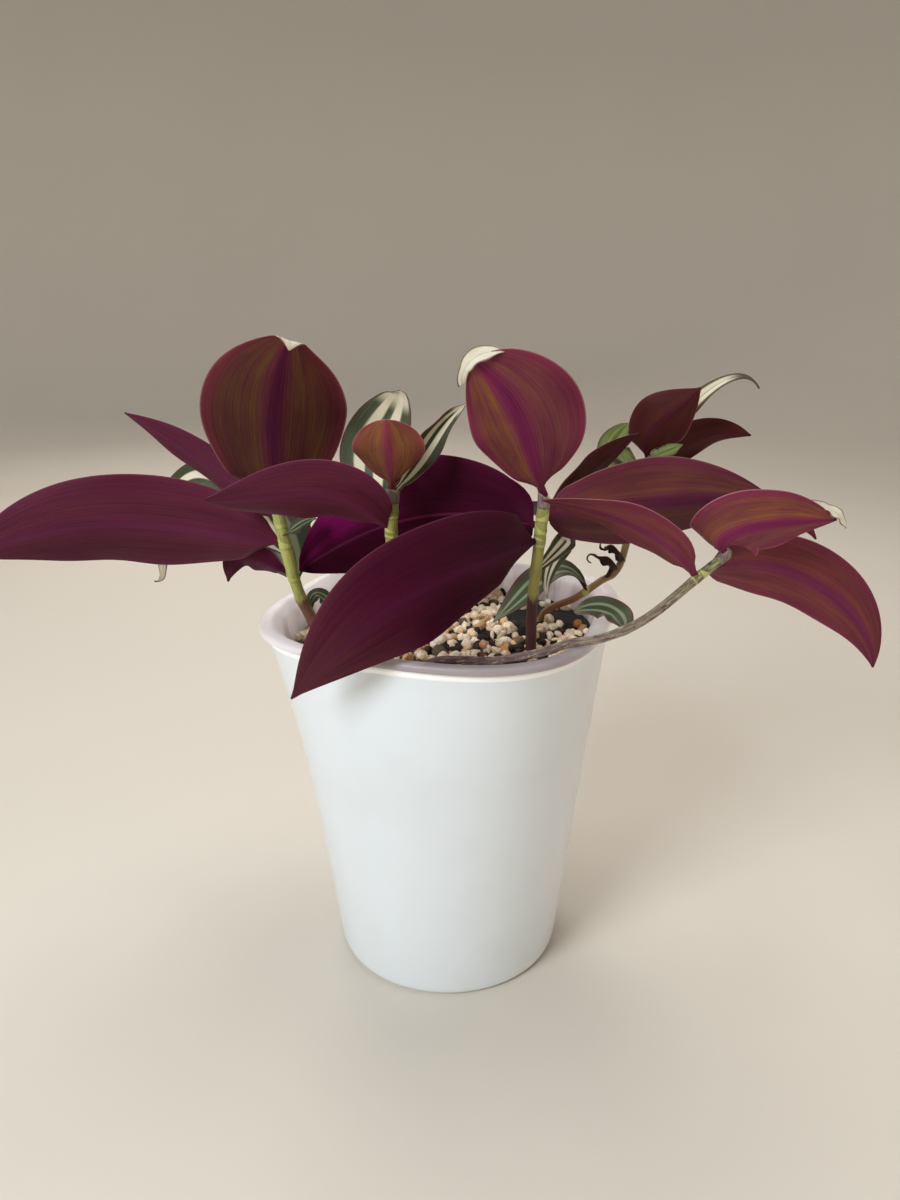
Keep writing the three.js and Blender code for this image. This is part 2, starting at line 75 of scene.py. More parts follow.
def smoothstep(low: float, high: float, x: np.ndarray) -> np.ndarray:
    """Ease from 0 to 1 as x goes from low to high.

    Args:
        low: Where the step begins.
        high: Where it ends.
        x: Values to ease.

    Returns:
        The eased values.
    """
    t = np.clip((np.asarray(x, float) - low) / (high - low), 0, 1)
    return t * t * (3 - 2 * t)


def unit(vectors: np.ndarray) -> np.ndarray:
    """Scale vectors to length 1."""
    return vectors / np.linalg.norm(vectors, axis=-1, keepdims=True)


# ---------------------------------------------------------------- shader writing


class Tone:
    """A number that varies over a surface, on which sums can be written."""

    def __init__(self, recipe: "Recipe", socket: bpy.types.NodeSocket) -> None:
        """Wrap a socket of a recipe's node tree."""
        self.recipe = recipe
        self.socket = socket

    def _math(self, operation: str, first: Any, second: Any) -> "Tone":
        """Add one Math node."""
        node = self.recipe.node("ShaderNodeMath", {"operation": operation}, {0: first, 1: second})
        return Tone(self.recipe, node.outputs[0])

    def __add__(self, other: Any) -> "Tone":
        """self + other."""
        return self._math("ADD", self, other)

    def __radd__(self, other: Any) -> "Tone":
        """other + self."""
        return self._math("ADD", other, self)

    def __sub__(self, other: Any) -> "Tone":
        """self - other."""
        return self._math("SUBTRACT", self, other)

    def __rsub__(self, other: Any) -> "Tone":
        """other - self."""
        return self._math("SUBTRACT", other, self)

    def __mul__(self, other: Any) -> "Tone":
        """self * other."""
        return self._math("MULTIPLY", self, other)

    def __rmul__(self, other: Any) -> "Tone":
        """other * self."""
        return self._math("MULTIPLY", other, self)

    def __abs__(self) -> "Tone":
        """The size of self without its sign."""
        return self._math("ABSOLUTE", self, 0.0)

    def cosine(self) -> "Tone":
        """The cosine of self in radians."""
        return self._math("COSINE", self, 0.0)

    def sine(self) -> "Tone":
        """The sine of self in radians."""
        return self._math("SINE", self, 0.0)

    def step(self, low: float, high: float) -> "Tone":
        """Ease from 0 to 1 as the tone goes from low to high.

        Args:
            low: Where the step begins.
            high: Where it ends.

        Returns:
            The eased tone.
        """
        node = self.recipe.node(
            "ShaderNodeMapRange",
            {"interpolation_type": "SMOOTHSTEP"},
            {"Value": self, "From Min": low, "From Max": high, "To Min": 0.0, "To Max": 1.0},
        )
        return Tone(self.recipe, node.outputs[0])


class Recipe:
    """Builds one material node by node."""

    def __init__(self, name: str) -> None:
        """Start a material with an empty Principled shader."""
        self.material = bpy.data.materials.new(name)
        self.material.use_nodes = True
        self.tree = self.material.node_tree
        self.shader = self.tree.nodes["Principled BSDF"]

    def put(self, socket: bpy.types.NodeSocket, value: Any) -> None:
        """Set a socket to a value, or link it.

        Args:
            socket: The input to fill.
            value: A number, a colour, a socket or a Tone.
        """
        if isinstance(value, Tone):
            value = value.socket
        if isinstance(value, bpy.types.NodeSocket):
            self.tree.links.new(value, socket)
        else:
            socket.default_value = value

    def node(self, kind: str, settings: dict[str, Any], inputs: dict[Union[int, str], Any]) -> bpy.types.Node:
        """Add a node.

        Args:
            kind: The node's type.
            settings: Its properties; stops are a ramp's (place, colour) pairs.
            inputs: Values or links of its sockets.

        Returns:
            The node.
        """
        node = self.tree.nodes.new(kind)
        for name, value in settings.items():
            if name == "stops":
                ramp = node.color_ramp
                while len(ramp.elements) < len(value):
                    ramp.elements.new(0.5)
                for element, (place, colour) in zip(ramp.elements, value):
                    element.position = place
                    element.color = colour
            else:
                setattr(node, name, value)
        for key, value in inputs.items():
            self.put(node.inputs[key], value)
        return node

    def blend(self, low: Any, high: Any, factor: Any) -> bpy.types.NodeSocket:
        """Mix two colours.

        Args:
            low: The colour at factor 0.
            high: The colour at factor 1.
            factor: The share of the second.

        Returns:
            The mixed colour's socket.
        """
        return self.node("ShaderNodeMix", {"data_type": "RGBA"}, {0: factor, 6: low, 7: high}).outputs[2]

    def shade(self, colour: Any, amount: Any) -> bpy.types.NodeSocket:
        """Make a colour lighter or darker.

        Args:
            colour: The colour.
            amount: What it is multiplied by.

        Returns:
            The shaded colour's socket.
        """
        grey = self.node("ShaderNodeCombineXYZ", {}, {0: amount, 1: amount, 2: amount}).outputs[0]
        settings = {"data_type": "RGBA", "blend_type": "MULTIPLY"}
        return self.node("ShaderNodeMix", settings, {0: 1.0, 6: colour, 7: grey}).outputs[2]

    def noise(self, vector: Any, scale: float, detail: float = 2.0, roughness: float = 0.5) -> Tone:
        """Sample a noise.

        Args:
            vector: Where it is read.
            scale: Its number of features per unit.
            detail: How many finer layers it has.
            roughness: How strong the finer layers are.

        Returns:
            A tone from about 0 to 1.
        """
        values = {"Vector": vector, "Scale": scale, "Detail": detail, "Roughness": roughness}
        return Tone(self, self.node("ShaderNodeTexNoise", {}, values).outputs["Fac"])

    def place(self) -> bpy.types.NodeSocket:
        """Where a point is, in the piece's own metres."""
        return self.node("ShaderNodeTexCoord", {}, {}).outputs["Object"]

    def axes(self, vector: Any) -> tuple[Tone, ...]:
        """Part a vector in its x, y and z."""
        return tuple(Tone(self, output) for output in self.node("ShaderNodeSeparateXYZ", {}, {0: vector}).outputs)

    def squeeze(self, vector: Any, height: float) -> bpy.types.NodeSocket:
        """Scale a vector's z alone, which draws a noise out upwards."""
        return self.node("ShaderNodeMapping", {}, {"Vector": vector, "Scale": (1.0, 1.0, height)}).outputs[0]

    def attribute(self, name: str) -> Tone:
        """Read a number stored on the mesh."""
        return Tone(self, self.node("ShaderNodeAttribute", {"attribute_name": name}, {}).outputs["Fac"])

    def vector(self, x: Any, y: Any, z: Any = 0.0) -> bpy.types.NodeSocket:
        """Join three numbers in a vector."""
        return self.node("ShaderNodeCombineXYZ", {}, {0: x, 1: y, 2: z}).outputs[0]

    def bump(self, height: Any, distance: float, strength: float = 1.0) -> None:
        """Raise the surface.

        Args:
            height: How high it is, from 0 to 1.
            distance: Metres at 1.
            strength: How much of it shows.
        """
        node = self.node("ShaderNodeBump", {}, {"Height": height, "Distance": distance, "Strength": strength})
        self.put(self.shader.inputs["Normal"], node.outputs[0])

    def finish(self, **inputs: Any) -> bpy.types.Material:
        """Fill the shader's sockets.

        Args:
            **inputs: Socket names with an underscore for each space, and their values or links.

        Returns:
            The material.
        """
        for name, value in inputs.items():
            self.put(self.shader.inputs[name.replace("_", " ")], value)
        return self.material


# ---------------------------------------------------------------- mesh writing


def make_piece(
    name: str,
    vertices: np.ndarray,
    faces: Sequence[Sequence[int]],
    materials: Sequence[bpy.types.Material],
    material_of_face: Optional[Sequence[int]] = None,
    numbers: Optional[dict[str, np.ndarray]] = None,
) -> bpy.types.Object:
    """Make a smooth mesh object at the origin.

    Args:
        name: The piece's name.
        vertices: Points in millimetres.
        faces: Vertex numbers of each face, anticlockwise from outside.
        materials: The piece's finishes.
        material_of_face: Which finish each face has; the first if left out.
        numbers: A number for each vertex, stored under each name.

    Returns:
        The object.
    """
    mesh = bpy.data.meshes.new(name)
    mesh.from_pydata((np.asarray(vertices, float) * MM).tolist(), [], [list(map(int, face)) for face in faces])
    for material in materials:
        mesh.materials.append(material)
    if material_of_face is not None:
        mesh.polygons.foreach_set("material_index", np.asarray(material_of_face, np.int32))
    for key, values in (numbers or {}).items():
        mesh.attributes.new(key, "FLOAT", "POINT").data.foreach_set("value", np.asarray(values, np.float32))
    mesh.polygons.foreach_set("use_smooth", np.ones(len(mesh.polygons), bool))
    mesh.validate()
    mesh.update()
    piece = bpy.data.objects.new(name, mesh)
    bpy.context.scene.collection.objects.link(piece)
    return piece


def seat(piece: bpy.types.Object, node: Optional[str] = None) -> bpy.types.Object:
    """Fix a piece to the frame.

    Args:
        piece: The piece.
        node: The solid it replaces, if any.

    Returns:
        The piece.
    """
    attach(piece, "root")
    if node:
        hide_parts(node)
    LOG.info("%s: %d faces", piece.name, len(piece.data.polygons))
    return piece


def grid_faces(rows: int, columns: int, start: int = 0, flip: bool = False) -> list[tuple[int, int, int, int]]:
    """List the faces of a grid of points.

    Args:
        rows: Rows of points.
        columns: Points in a row.
        start: The first point's number.
        flip: Whether the faces look the other way.

    Returns:
        Four vertex numbers for each face.
    """
    faces = []
    for row in range(rows - 1):
        for column in range(columns - 1):
            a = start + row * columns + column
            quad = (a, a + 1, a + columns + 1, a + columns)
            faces.append(quad[::-1] if flip else quad)
    return faces


def band_faces(low: int, high: int, sides: int, flip: bool = False) -> list[Sequence[int]]:
    """List the faces between two rings of points.

    Args:
        low: The first point of one ring.
        high: The first point of the other.
        sides: Points in a ring.
        flip: Whether the faces look the other way.

    Returns:
        Four vertex numbers for each face.
    """
    faces: list[Sequence[int]] = []
    for i in range(sides):
        j = (i + 1) % sides
        quad = (low + i, low + j, high + j, high + i)
        faces.append(quad[:1] + quad[:0:-1] if flip else quad)
    return faces


def fan_faces(middle: int, ring: int, sides: int, flip: bool = False) -> list[Sequence[int]]:
    """List the faces between a point and a ring of points round it.

    Args:
        middle: The point.
        ring: The ring's first point.
        sides: Points in the ring.
        flip: Whether the faces look the other way.

    Returns:
        Three vertex numbers for each face.
    """
    pairs = [(ring + i, ring + (i + 1) % sides) for i in range(sides)]
    return [(middle, b, a) if flip else (middle, a, b) for a, b in pairs]


def circle_angles(sides: int) -> np.ndarray:
    """Evenly spaced angles of a full turn."""
    return np.linspace(0, 2 * math.pi, sides, endpoint=False)


def apply_nodes(piece: bpy.types.Object, tree: bpy.types.NodeTree, values: dict[str, Any]) -> bpy.types.Object:
    """Run a geometry tree on a piece and keep its result as a plain mesh.

    Args:
        piece: The object that the tree starts from; it is removed.
        tree: The tree.
        values: The tree's inputs by name.

    Returns:
        The new piece, under the old one's name.
    """
    modifier = piece.modifiers.new("build", "NODES")
    modifier.node_group = tree
    for item in tree.interface.items_tree:
        if item.item_type == "SOCKET" and item.in_out == "INPUT" and item.name in values:
            modifier[item.identifier] = values[item.name]
    graph = bpy.context.evaluated_depsgraph_get()
    mesh = bpy.data.meshes.new_from_object(piece.evaluated_get(graph))
    name = piece.name
    piece.modifiers.remove(modifier)
    bpy.data.objects.remove(piece)
    mesh.name = name
    made = bpy.data.objects.new(name, mesh)
    bpy.context.scene.collection.objects.link(made)
    return made


class Weave:
    """Builds one Geometry Nodes tree with named inputs."""

    def __init__(self, name: str, inputs: dict[str, tuple[str, Any]]) -> None:
        """Start a tree.

        Args:
            name: The tree's name.
            inputs: Socket type and default value under each input's name.
        """
        self.tree = bpy.data.node_groups.new(name, "GeometryNodeTree")
        face = self.tree.interface
        face.new_socket("Geometry", in_out="INPUT", socket_type="NodeSocketGeometry")
        for key, (kind, value) in inputs.items():
            socket = face.new_socket(key, in_out="INPUT", socket_type=kind)
            if value is not None:
                socket.default_value = value
        face.new_socket("Geometry", in_out="OUTPUT", socket_type="NodeSocketGeometry")
        self.start = self.tree.nodes.new("NodeGroupInput")
        self.end = self.tree.nodes.new("NodeGroupOutput")

    def given(self, name: str) -> bpy.types.NodeSocket:
        """The socket of one of the tree's inputs."""
        return self.start.outputs[name]

    def node(self, kind: str, settings: dict[str, Any], inputs: dict[Union[int, str], Any], out: Any = 0) -> Any:
        """Add a node.

        Args:
            kind: The node's type.
            settings: Its properties.
            inputs: Values or links of its sockets.
            out: The output that is wanted.

        Returns:
            That output's socket.
        """
        node = self.tree.nodes.new(kind)
        for name, value in settings.items():
            setattr(node, name, value)
        for key, value in inputs.items():
            if isinstance(value, bpy.types.NodeSocket):
                self.tree.links.new(value, node.inputs[key])
            else:
                node.inputs[key].default_value = value
        return node.outputs[out]

    def maths(self, operation: str, first: Any, second: Any) -> bpy.types.NodeSocket:
        """Add one Math node."""
        return self.node("ShaderNodeMath", {"operation": operation}, {0: first, 1: second})

    def random_vector(self, low: Point, high: Point, seed: bpy.types.NodeSocket) -> bpy.types.NodeSocket:
        """Draw a vector between two others for each point."""
        return self.node("FunctionNodeRandomValue", {"data_type": "FLOAT_VECTOR"}, {0: low, 1: high, "Seed": seed})

    def close(self, geometry: bpy.types.NodeSocket, material: bpy.types.NodeSocket) -> bpy.types.NodeTree:
        """End the tree with real, smooth geometry in its finish.

        Args:
            geometry: What the tree has made.
            material: The finish.

        Returns:
            The tree.
        """
        real = self.node("GeometryNodeRealizeInstances", {}, {0: geometry})
        smooth = self.node("GeometryNodeSetShadeSmooth", {}, {0: real})
        done = self.node("GeometryNodeSetMaterial", {}, {0: smooth, "Material": material})
        self.tree.links.new(done, self.end.inputs[0])
        return self.tree


# ---------------------------------------------------------------- finishes


@dataclass(frozen=True)
class WhitePlastic:
    """Glossy moulded plastic of the outer pot, with a painted highlight: a white band round the top of the rim that
    glows faintly except on the right.
    """

    colour: Colour = paint(240, 248, 255)
    # The grey of the random patches and of the greying towards the foot.
    greyer: Colour = paint(214, 216, 216)
    # The white of the painted highlight round the rim.
    rim_highlight: Colour = paint(255, 255, 255)
    roughness: float = 0.2

    def make(self) -> bpy.types.Material:
        """Build the material."""
        recipe = Recipe("white_plastic")
        place = recipe.place()
        cloud = recipe.noise(place, 28, 3)
        across, _, height = recipe.axes(place)
        # Greyer and rougher in random cloudy patches, like dust, and greyer towards the foot over the lowest 30 mm.
        foot = 1 - height.step(0.0, 0.03)
        dust_and_foot_grey = cloud.step(0.45, 0.8) * 0.2 + foot * 0.15
        # Painted highlight: the top of the rim, from about 108 mm up, is blended to white and glows faintly, except on
        # the pot's right side.
        rim = height.step(0.1078, 0.1086)
        recipe.bump(cloud, 0.0002, 0.25)
        return recipe.finish(
            Base_Color=recipe.blend(recipe.blend(self.colour, self.greyer, dust_and_foot_grey), self.rim_highlight, rim),
            Roughness=self.roughness + dust_and_foot_grey * 0.3,
            Emission_Color=recipe.shade(self.rim_highlight, rim * (1 - across.step(0.015, 0.04)) * 0.16),
            Emission_Strength=1.0,
            IOR=1.49,
            Subsurface_Weight=0.12,
            Subsurface_Radius=(0.004, 0.004, 0.004),
            Subsurface_Scale=1.0,
        )


@dataclass(frozen=True)
class FrostedPlastic:
    """Frosted, slightly see-through lilac plastic of the liner, with painted shade on the front of the lip and a
    painted glow near the top of the wall.
    """

    colour: Colour = paint(236, 232, 234)
    cloudy: Colour = paint(222, 212, 216)
    # The grey-lilac of the painted shade at the front.
    shadowed: Colour = paint(186, 174, 177)
    earthy: Colour = paint(142, 120, 104)
    # The colour of the painted glow near the top of the wall.
    glow: Colour = paint(255, 244, 240)
    roughness: float = 0.34

    def make(self) -> bpy.types.Material:
        """Build the material."""
        recipe = Recipe("frosted_plastic")
        place = recipe.place()
        cloud = recipe.noise(place, 60, 3)
        grain = recipe.noise(place, 1400, 1)
        across, deep, height = recipe.axes(place)
        # Painted shade: the front middle of the lip and wall is blended to a darker grey-lilac.
        front = (1 - abs(across - 0.004).step(0.024, 0.046)) * (1 - deep.step(-0.02, 0.0))
        # Painted glow: away from the front, the wall glows faintly from about 96 mm up, for light shining through the
        # frosted plastic.
        lit = height.step(0.096, 0.11) * (1 - front) * 0.16
        recipe.bump(grain, 0.00006, 0.5)
        hazy = recipe.blend(self.colour, self.cloudy, cloud.step(0.3, 0.75))
        smears = recipe.noise(recipe.squeeze(place, 0.3), 130, 3, 0.6)
        hazy = recipe.blend(hazy, self.earthy, smears.step(0.4, 0.58) * (1 - height.step(0.1075, 0.1118)) * 0.8)
        return recipe.finish(
            Base_Color=recipe.blend(hazy, self.shadowed, front * (0.75 + cloud * 0.25)),
            Roughness=self.roughness + grain * 0.08,
            Emission_Color=recipe.shade(self.glow, lit),
            Emission_Strength=1.0,
            IOR=1.46,
            Transmission_Weight=0.28,
            Subsurface_Weight=0.3,
            Subsurface_Radius=(0.006, 0.005, 0.006),
            Subsurface_Scale=1.0,
        )


@dataclass(frozen=True)
class DarkSoil:
    """Crumbly black soil under the pumice."""

    dry: Colour = paint(34, 24, 18)
    wet: Colour = paint(9, 6, 4)

    def make(self) -> bpy.types.Material:
        """Build the material."""
        recipe = Recipe("dark_soil")
        place = recipe.place()
        crumbs = recipe.noise(place, 420, 4, 0.65)
        recipe.bump(crumbs, 0.0012)
        return recipe.finish(
            Base_Color=recipe.blend(self.wet, self.dry, crumbs.step(0.4, 0.7)),
            Roughness=0.8 + crumbs * 0.2,
        )


@dataclass(frozen=True)
class Pumice:
    """Dry pumice: cream, tan and rusty grains, each in its own tone."""

    cream: Colour = paint(255, 236, 206)
    tan: Colour = paint(232, 184, 136)
    rust: Colour = paint(186, 118, 62)
    grey: Colour = paint(112, 92, 72)
    black: Colour = paint(44, 34, 28)

    def make(self) -> bpy.types.Material:
        """Build the material."""
        recipe = Recipe("pumice")
        place = recipe.place()
        tone = recipe.attribute("tone")
        pits = recipe.noise(place, 1500, 3, 0.7)
        stain = recipe.noise(place, 420, 2)
        ramp = recipe.node(
            "ShaderNodeValToRGB",
            {"stops": [(0.0, self.black), (0.23, self.black), (0.25, self.grey), (0.32, self.tan), (0.44, self.cream),
                       (0.82, self.cream), (0.92, self.tan), (1.0, self.rust)]},
            {"Fac": tone},
        )
        stained = recipe.blend(ramp.outputs[0], self.rust, stain.step(0.55, 0.8) * 0.55)
        recipe.bump(pits, 0.0004)
        return recipe.finish(Base_Color=recipe.shade(stained, 0.7 + pits.step(0.3, 0.6) * 0.45), Roughness=0.88)


@dataclass(frozen=True)
class FleshyStem:
    """A fleshy stem, brownish purple at its foot and green above, streaked along its length."""

    name: str
    foot: Colour = paint(88, 52, 52)
    green: Colour = paint(174, 168, 88)
    tip: Colour = paint(158, 164, 92)
    streak: Colour = paint(104, 62, 74)
    turns_green: tuple[float, float] = (0.45, 0.6)
    streaking: float = 0.35
    mottling: float = 0.0
    fleck: Colour = paint(206, 196, 168)

    def make(self) -> bpy.types.Material:
        """Build the material."""
        recipe = Recipe(self.name)
        along = recipe.attribute("along")
        share = recipe.attribute("share")
        around = recipe.attribute("around")
        knob = recipe.attribute("knob")
        angle = around * (2 * math.pi)
        cosine, sine = angle.cosine(), angle.sine()
        streaks = recipe.noise(recipe.vector(cosine * 3.2, sine * 3.2, along * 0.12), 1.6, 3, 0.6)
        fine = recipe.noise(recipe.vector(cosine * 9, sine * 9, along * 0.3), 1.6, 2)
        wandering = share + (streaks - 0.5) * 0.12
        body = recipe.blend(self.foot, self.green, wandering.step(*self.turns_green))
        body = recipe.blend(body, self.tip, share.step(0.75, 1.0))
        streaked = recipe.blend(body, self.streak, streaks.step(0.5, 0.68) * self.streaking)
        mottle = recipe.noise(recipe.vector(cosine * 1.6, sine * 1.6, along * 0.35), 1.1, 3, 0.7)
        streaked = recipe.blend(streaked, self.streak, mottle.step(0.52, 0.62) * self.mottling)
        streaked = recipe.blend(streaked, self.fleck, (1 - mottle.step(0.34, 0.44)) * self.mottling)
        knobbed = recipe.blend(streaked, self.streak, knob * 0.2)
        recipe.bump(fine + streaks, 0.00016)
        return recipe.finish(
            Base_Color=recipe.shade(knobbed, 0.82 + fine * 0.36),
            Roughness=0.34 + fine * 0.16,
            Subsurface_Weight=0.15,
            Subsurface_Radius=(0.002, 0.0015, 0.0008),
            Subsurface_Scale=1.0,
        )


@dataclass(frozen=True)
class Underside:
    """The underside of a leaf: purple, often with an olive band on either side of a magenta rib."""

    name: str
    body: Colour
    band: Colour
    rib: Colour
    rim: Colour
    banding: float = 0.8
    ribbing: float = 0.8
    rimming: float = 0.8
    sheen: float = 0.03
    # The colour of a painted glow, if any: a patch that stands for light shining through the leaf.
    glow: Optional[Colour] = None
    gloss: float = 0.07
    rib_width: float = 0.13
    other_band: Optional[Colour] = None
    ageing: Optional[Colour] = None
    stalk: Colour = paint(142, 132, 84)
    # The pale edge line: partly the hairy margin's own colour and partly a painted highlight.
    margin: Colour = paint(176, 128, 128)

    def make(self) -> bpy.types.Material:
        """Build the material."""
        recipe = Recipe(self.name)
        across = recipe.attribute("across")
        along = recipe.attribute("along")
        aside = abs(across)
        veins = recipe.noise(recipe.vector(across * 26, along * 1.6), 1.0, 2, 0.6)
        threads = recipe.noise(recipe.vector(across * 95, along * 3.0, 5.0), 1.0, 1)
        cloud = recipe.noise(recipe.vector(across * 2.4, along * 2.2, 9.0), 1.0, 3)
        grain = recipe.noise(recipe.place(), 3200, 1)
        edge = aside + (veins - 0.5) * 0.16
        streaks = recipe.noise(recipe.vector(across * 6, along * 0.7, 2.0), 1.0, 2, 0.6).step(0.3, 0.62)
        band = edge.step(0.1, 0.32) * (1 - edge.step(0.62, 0.94)) * (0.35 + cloud.step(0.3, 0.65) * 0.65)
        band = band * (0.5 + streaks * 0.5)
        reach = along.step(0.02, 0.2) * (1 - along.step(0.8, 1.0) * 0.6)
        gold = recipe.blend(self.band, self.other_band or self.band, across.step(-0.1, 0.1))
        colour = recipe.blend(self.body, gold, band * reach * self.banding)
        off_rib = edge.step(self.rib_width * 0.15, self.rib_width)
        colour = recipe.blend(colour, self.rib, (1 - off_rib) * self.ribbing)
        colour = recipe.blend(colour, self.rim, edge.step(0.74, 1.0) * self.rimming)
        # Painted glow: a cloudy magenta patch on one half, from about halfway along, for light shining through the
        # leaf.
        if self.glow:
            patch = (across * -1.0).step(-0.1, 0.5) * along.step(0.4, 0.62) * cloud.step(0.25, 0.5)
            colour = recipe.blend(colour, self.glow, patch)
        if self.ageing:
            aged = (along + (streaks - 0.5) * 0.2).step(0.5, 1.0)
            colour = recipe.blend(colour, self.ageing, aged * 0.85)
        # A pale line along the very edge, partly the leaf's hairy margin and partly a painted highlight on the edge.
        colour = recipe.blend(colour, self.margin, aside.step(0.97, 0.995) * along.step(0.0, 0.1) * 0.6)
        colour = recipe.blend(self.stalk, colour, along.step(-0.95, -0.25))
        lines = recipe.noise(recipe.vector(across * 44, along * 0.8, 11.0), 1.0, 1).step(0.3, 0.55)
        tint = 0.5 + veins.step(0.3, 0.7) * 0.22 + lines * 0.15 + threads * 0.18 + cloud.step(0.3, 0.7) * 0.26
        # The stored tone is painted light and shade: each leaf is lighter or darker along its length and on either
        # half, as the light falls on it.
        tint = (tint + grain * 0.06) * recipe.attribute("tone")
        recipe.bump(veins * 0.8 + threads * 0.25 + grain * 0.12, 0.00022, 0.7)
        return recipe.finish(
            Base_Color=recipe.shade(colour, tint),
            Roughness=0.36 + threads * 0.14,
            Specular_IOR_Level=self.gloss,
            Sheen_Weight=self.sheen,
            Sheen_Roughness=0.45,
            Sheen_Tint=paint(176, 150, 190),
        )


@dataclass(frozen=True)
class Upperside:
    """The upper side of a leaf: silvery, with dark green stripes down its middle and near its edges."""

    name: str
    silver: Colour = paint(228, 217, 192)
    pale: Colour = paint(176, 178, 142)
    green: Colour = paint(56, 66, 38)
    dark: Colour = paint(82, 48, 46)
    bands: tuple[float, float, float] = (0.15, 0.52, 0.93)
    end: Colour = paint(228, 217, 192)
    ending: tuple[float, float] = (0.84, 0.95)

    def make(self) -> bpy.types.Material:
        """Build the material."""
        recipe = Recipe(self.name)
        across = recipe.attribute("across")
        along = recipe.attribute("along")
        aside = abs(across)
        veins = recipe.noise(recipe.vector(across * 24, along * 1.8), 1.0, 3, 0.65)
        threads = recipe.noise(recipe.vector(across * 90, along * 2.5, 3.0), 1.0, 1)
        wander = recipe.noise(recipe.vector(across * 1.5, along * 3.0, 7.0), 1.0, 1)
        glitter = recipe.noise(recipe.place(), 4200, 1)
        edge = aside + (veins - 0.5) * 0.05 + (wander - 0.5) * 0.1
        ramp = recipe.node(
            "ShaderNodeValToRGB",
            {"stops": [(0.0, self.green), (self.bands[0] - 0.03, self.green), (self.bands[0] + 0.03, self.silver),
                       (self.bands[1] - 0.03, self.silver), (self.bands[1] + 0.04, self.green),
                       (self.bands[2] - 0.03, self.green), (self.bands[2] + 0.03, self.dark)]},
            {"Fac": edge},
        )
        faded = recipe.blend(ramp.outputs[0], self.pale, veins.step(0.5, 0.8) * 0.22)
        faded = recipe.blend(faded, self.end, along.step(*self.ending) * (1 - aside.step(0.8, 0.95)) * 0.9)
        tint = 0.82 + threads * 0.2 + glitter * 0.14
        recipe.bump(veins * 0.7 + threads * 0.3 + glitter * 0.15, 0.0002, 0.7)
        return recipe.finish(
            Base_Color=recipe.shade(faded, tint),
            Roughness=0.36 + threads * 0.14,
            Specular_IOR_Level=0.3,
            Subsurface_Weight=0.1,
            Subsurface_Radius=(0.0012, 0.0012, 0.0008),
            Subsurface_Scale=1.0,
        )


@dataclass(frozen=True)
class PaperySheath:
    """The thin sheath of a leaf round its stem: pale, with purple veins."""

    name: str
    pale: Colour = paint(196, 198, 112)
    purple: Colour = paint(140, 116, 84)
    veining: float = 0.22

    def make(self) -> bpy.types.Material:
        """Build the material."""
        recipe = Recipe(self.name)
        veins = recipe.noise(recipe.squeeze(recipe.place(), 0.12), 1500, 2)
        recipe.bump(veins, 0.00015)
        return recipe.finish(
            Base_Color=recipe.blend(self.pale, self.purple, veins.step(0.36, 0.72) * self.veining),
            Roughness=0.4 + veins * 0.2,
        )


class Look(Enum):
    """How one side of a leaf is coloured."""

    BURGUNDY = Underside(
        "underside_burgundy", paint(98, 38, 64), paint(90, 40, 46), paint(106, 44, 82), paint(96, 40, 58), 0.7, 0.35,
        0.4, margin=paint(136, 84, 98),
    )
    DUSKY = Underside(
        "underside_dusky", paint(74, 12, 46), paint(68, 10, 28), paint(90, 24, 62), paint(86, 26, 48), 0.7, 0.42, 0.4,
        ageing=paint(82, 40, 46), margin=paint(110, 60, 72),
    )
    # Its magenta glow is a painted glow of light through the leaf.
    MIDNIGHT = Underside(
        "underside_midnight", paint(62, 10, 36), paint(54, 9, 26), paint(112, 42, 80), paint(72, 14, 42), 0.5, 0.7,
        0.4, 0.02, paint(114, 10, 80), 0.05, 0.04, margin=paint(96, 44, 66),
    )
    RIPE = Underside(
        "underside_ripe", paint(114, 42, 70), paint(114, 70, 58), paint(108, 30, 74), paint(120, 50, 62), 1.0, 0.8,
        0.5, other_band=paint(126, 86, 36),
    )
    # Its dark rib colour is partly the midrib's own violet and partly a painted shadow line along it.
    SHADED = Underside(
        "underside_shaded", paint(94, 36, 52), paint(98, 70, 34), paint(78, 18, 54), paint(122, 54, 58), 1.0, 0.9, 0.6
    )
    ROSY = Underside(
        "underside_rosy", paint(110, 44, 66), paint(118, 66, 48), paint(104, 42, 80), paint(118, 50, 62), 0.9, 0.5, 0.5
    )
    # A lighter copy of the rosy look, with light painted in for a leaf that hangs in shade.
    LIT_ROSY = Underside(
        "underside_lit_rosy", paint(124, 54, 84), paint(142, 90, 64), paint(106, 44, 84), paint(142, 62, 76), 1.0, 0.4,
        0.5,
    )
    RUSSET = Underside(
        "underside_russet", paint(80, 30, 36), paint(78, 42, 28), paint(76, 32, 48), paint(92, 40, 42), 0.8, 0.6, 0.5
    )
    OLIVE = Underside(
        "underside_olive", paint(130, 66, 64), paint(132, 96, 50), paint(132, 48, 82), paint(138, 68, 62), 1.0, 0.7,
        0.6,
    )
    GREEN = Underside(
        "underside_green", paint(118, 134, 74), paint(178, 188, 128), paint(92, 98, 58), paint(110, 80, 62), 0.8, 0.5,
        0.6,
    )
    DRIED = Underside(
        "underside_dried", paint(58, 38, 32), paint(44, 30, 28), paint(34, 24, 24), paint(34, 24, 22), 1.0, 0.8, 0.8
    )
    SILVER = Upperside("upperside_silver")
    MOSSY = Upperside(
        "upperside_mossy", paint(132, 140, 110), paint(96, 108, 74), paint(58, 70, 44), paint(92, 50, 52),
        (0.2, 0.42, 0.86), paint(110, 120, 90),
    )
    CREAMY = Upperside(
        "upperside_creamy", paint(240, 232, 212), paint(206, 200, 172), paint(186, 178, 146), paint(120, 84, 78),
        (0.02, 0.78, 0.9), paint(232, 222, 204),
    )
    BROWN_TIPPED = Upperside(
        "upperside_brown_tipped", paint(236, 226, 202), paint(190, 184, 154), paint(110, 104, 70), paint(88, 52, 50),
        (0.03, 0.62, 0.84), paint(62, 40, 32), (0.72, 0.86),
    )


# ---------------------------------------------------------------- the pot, its liner and what fills them


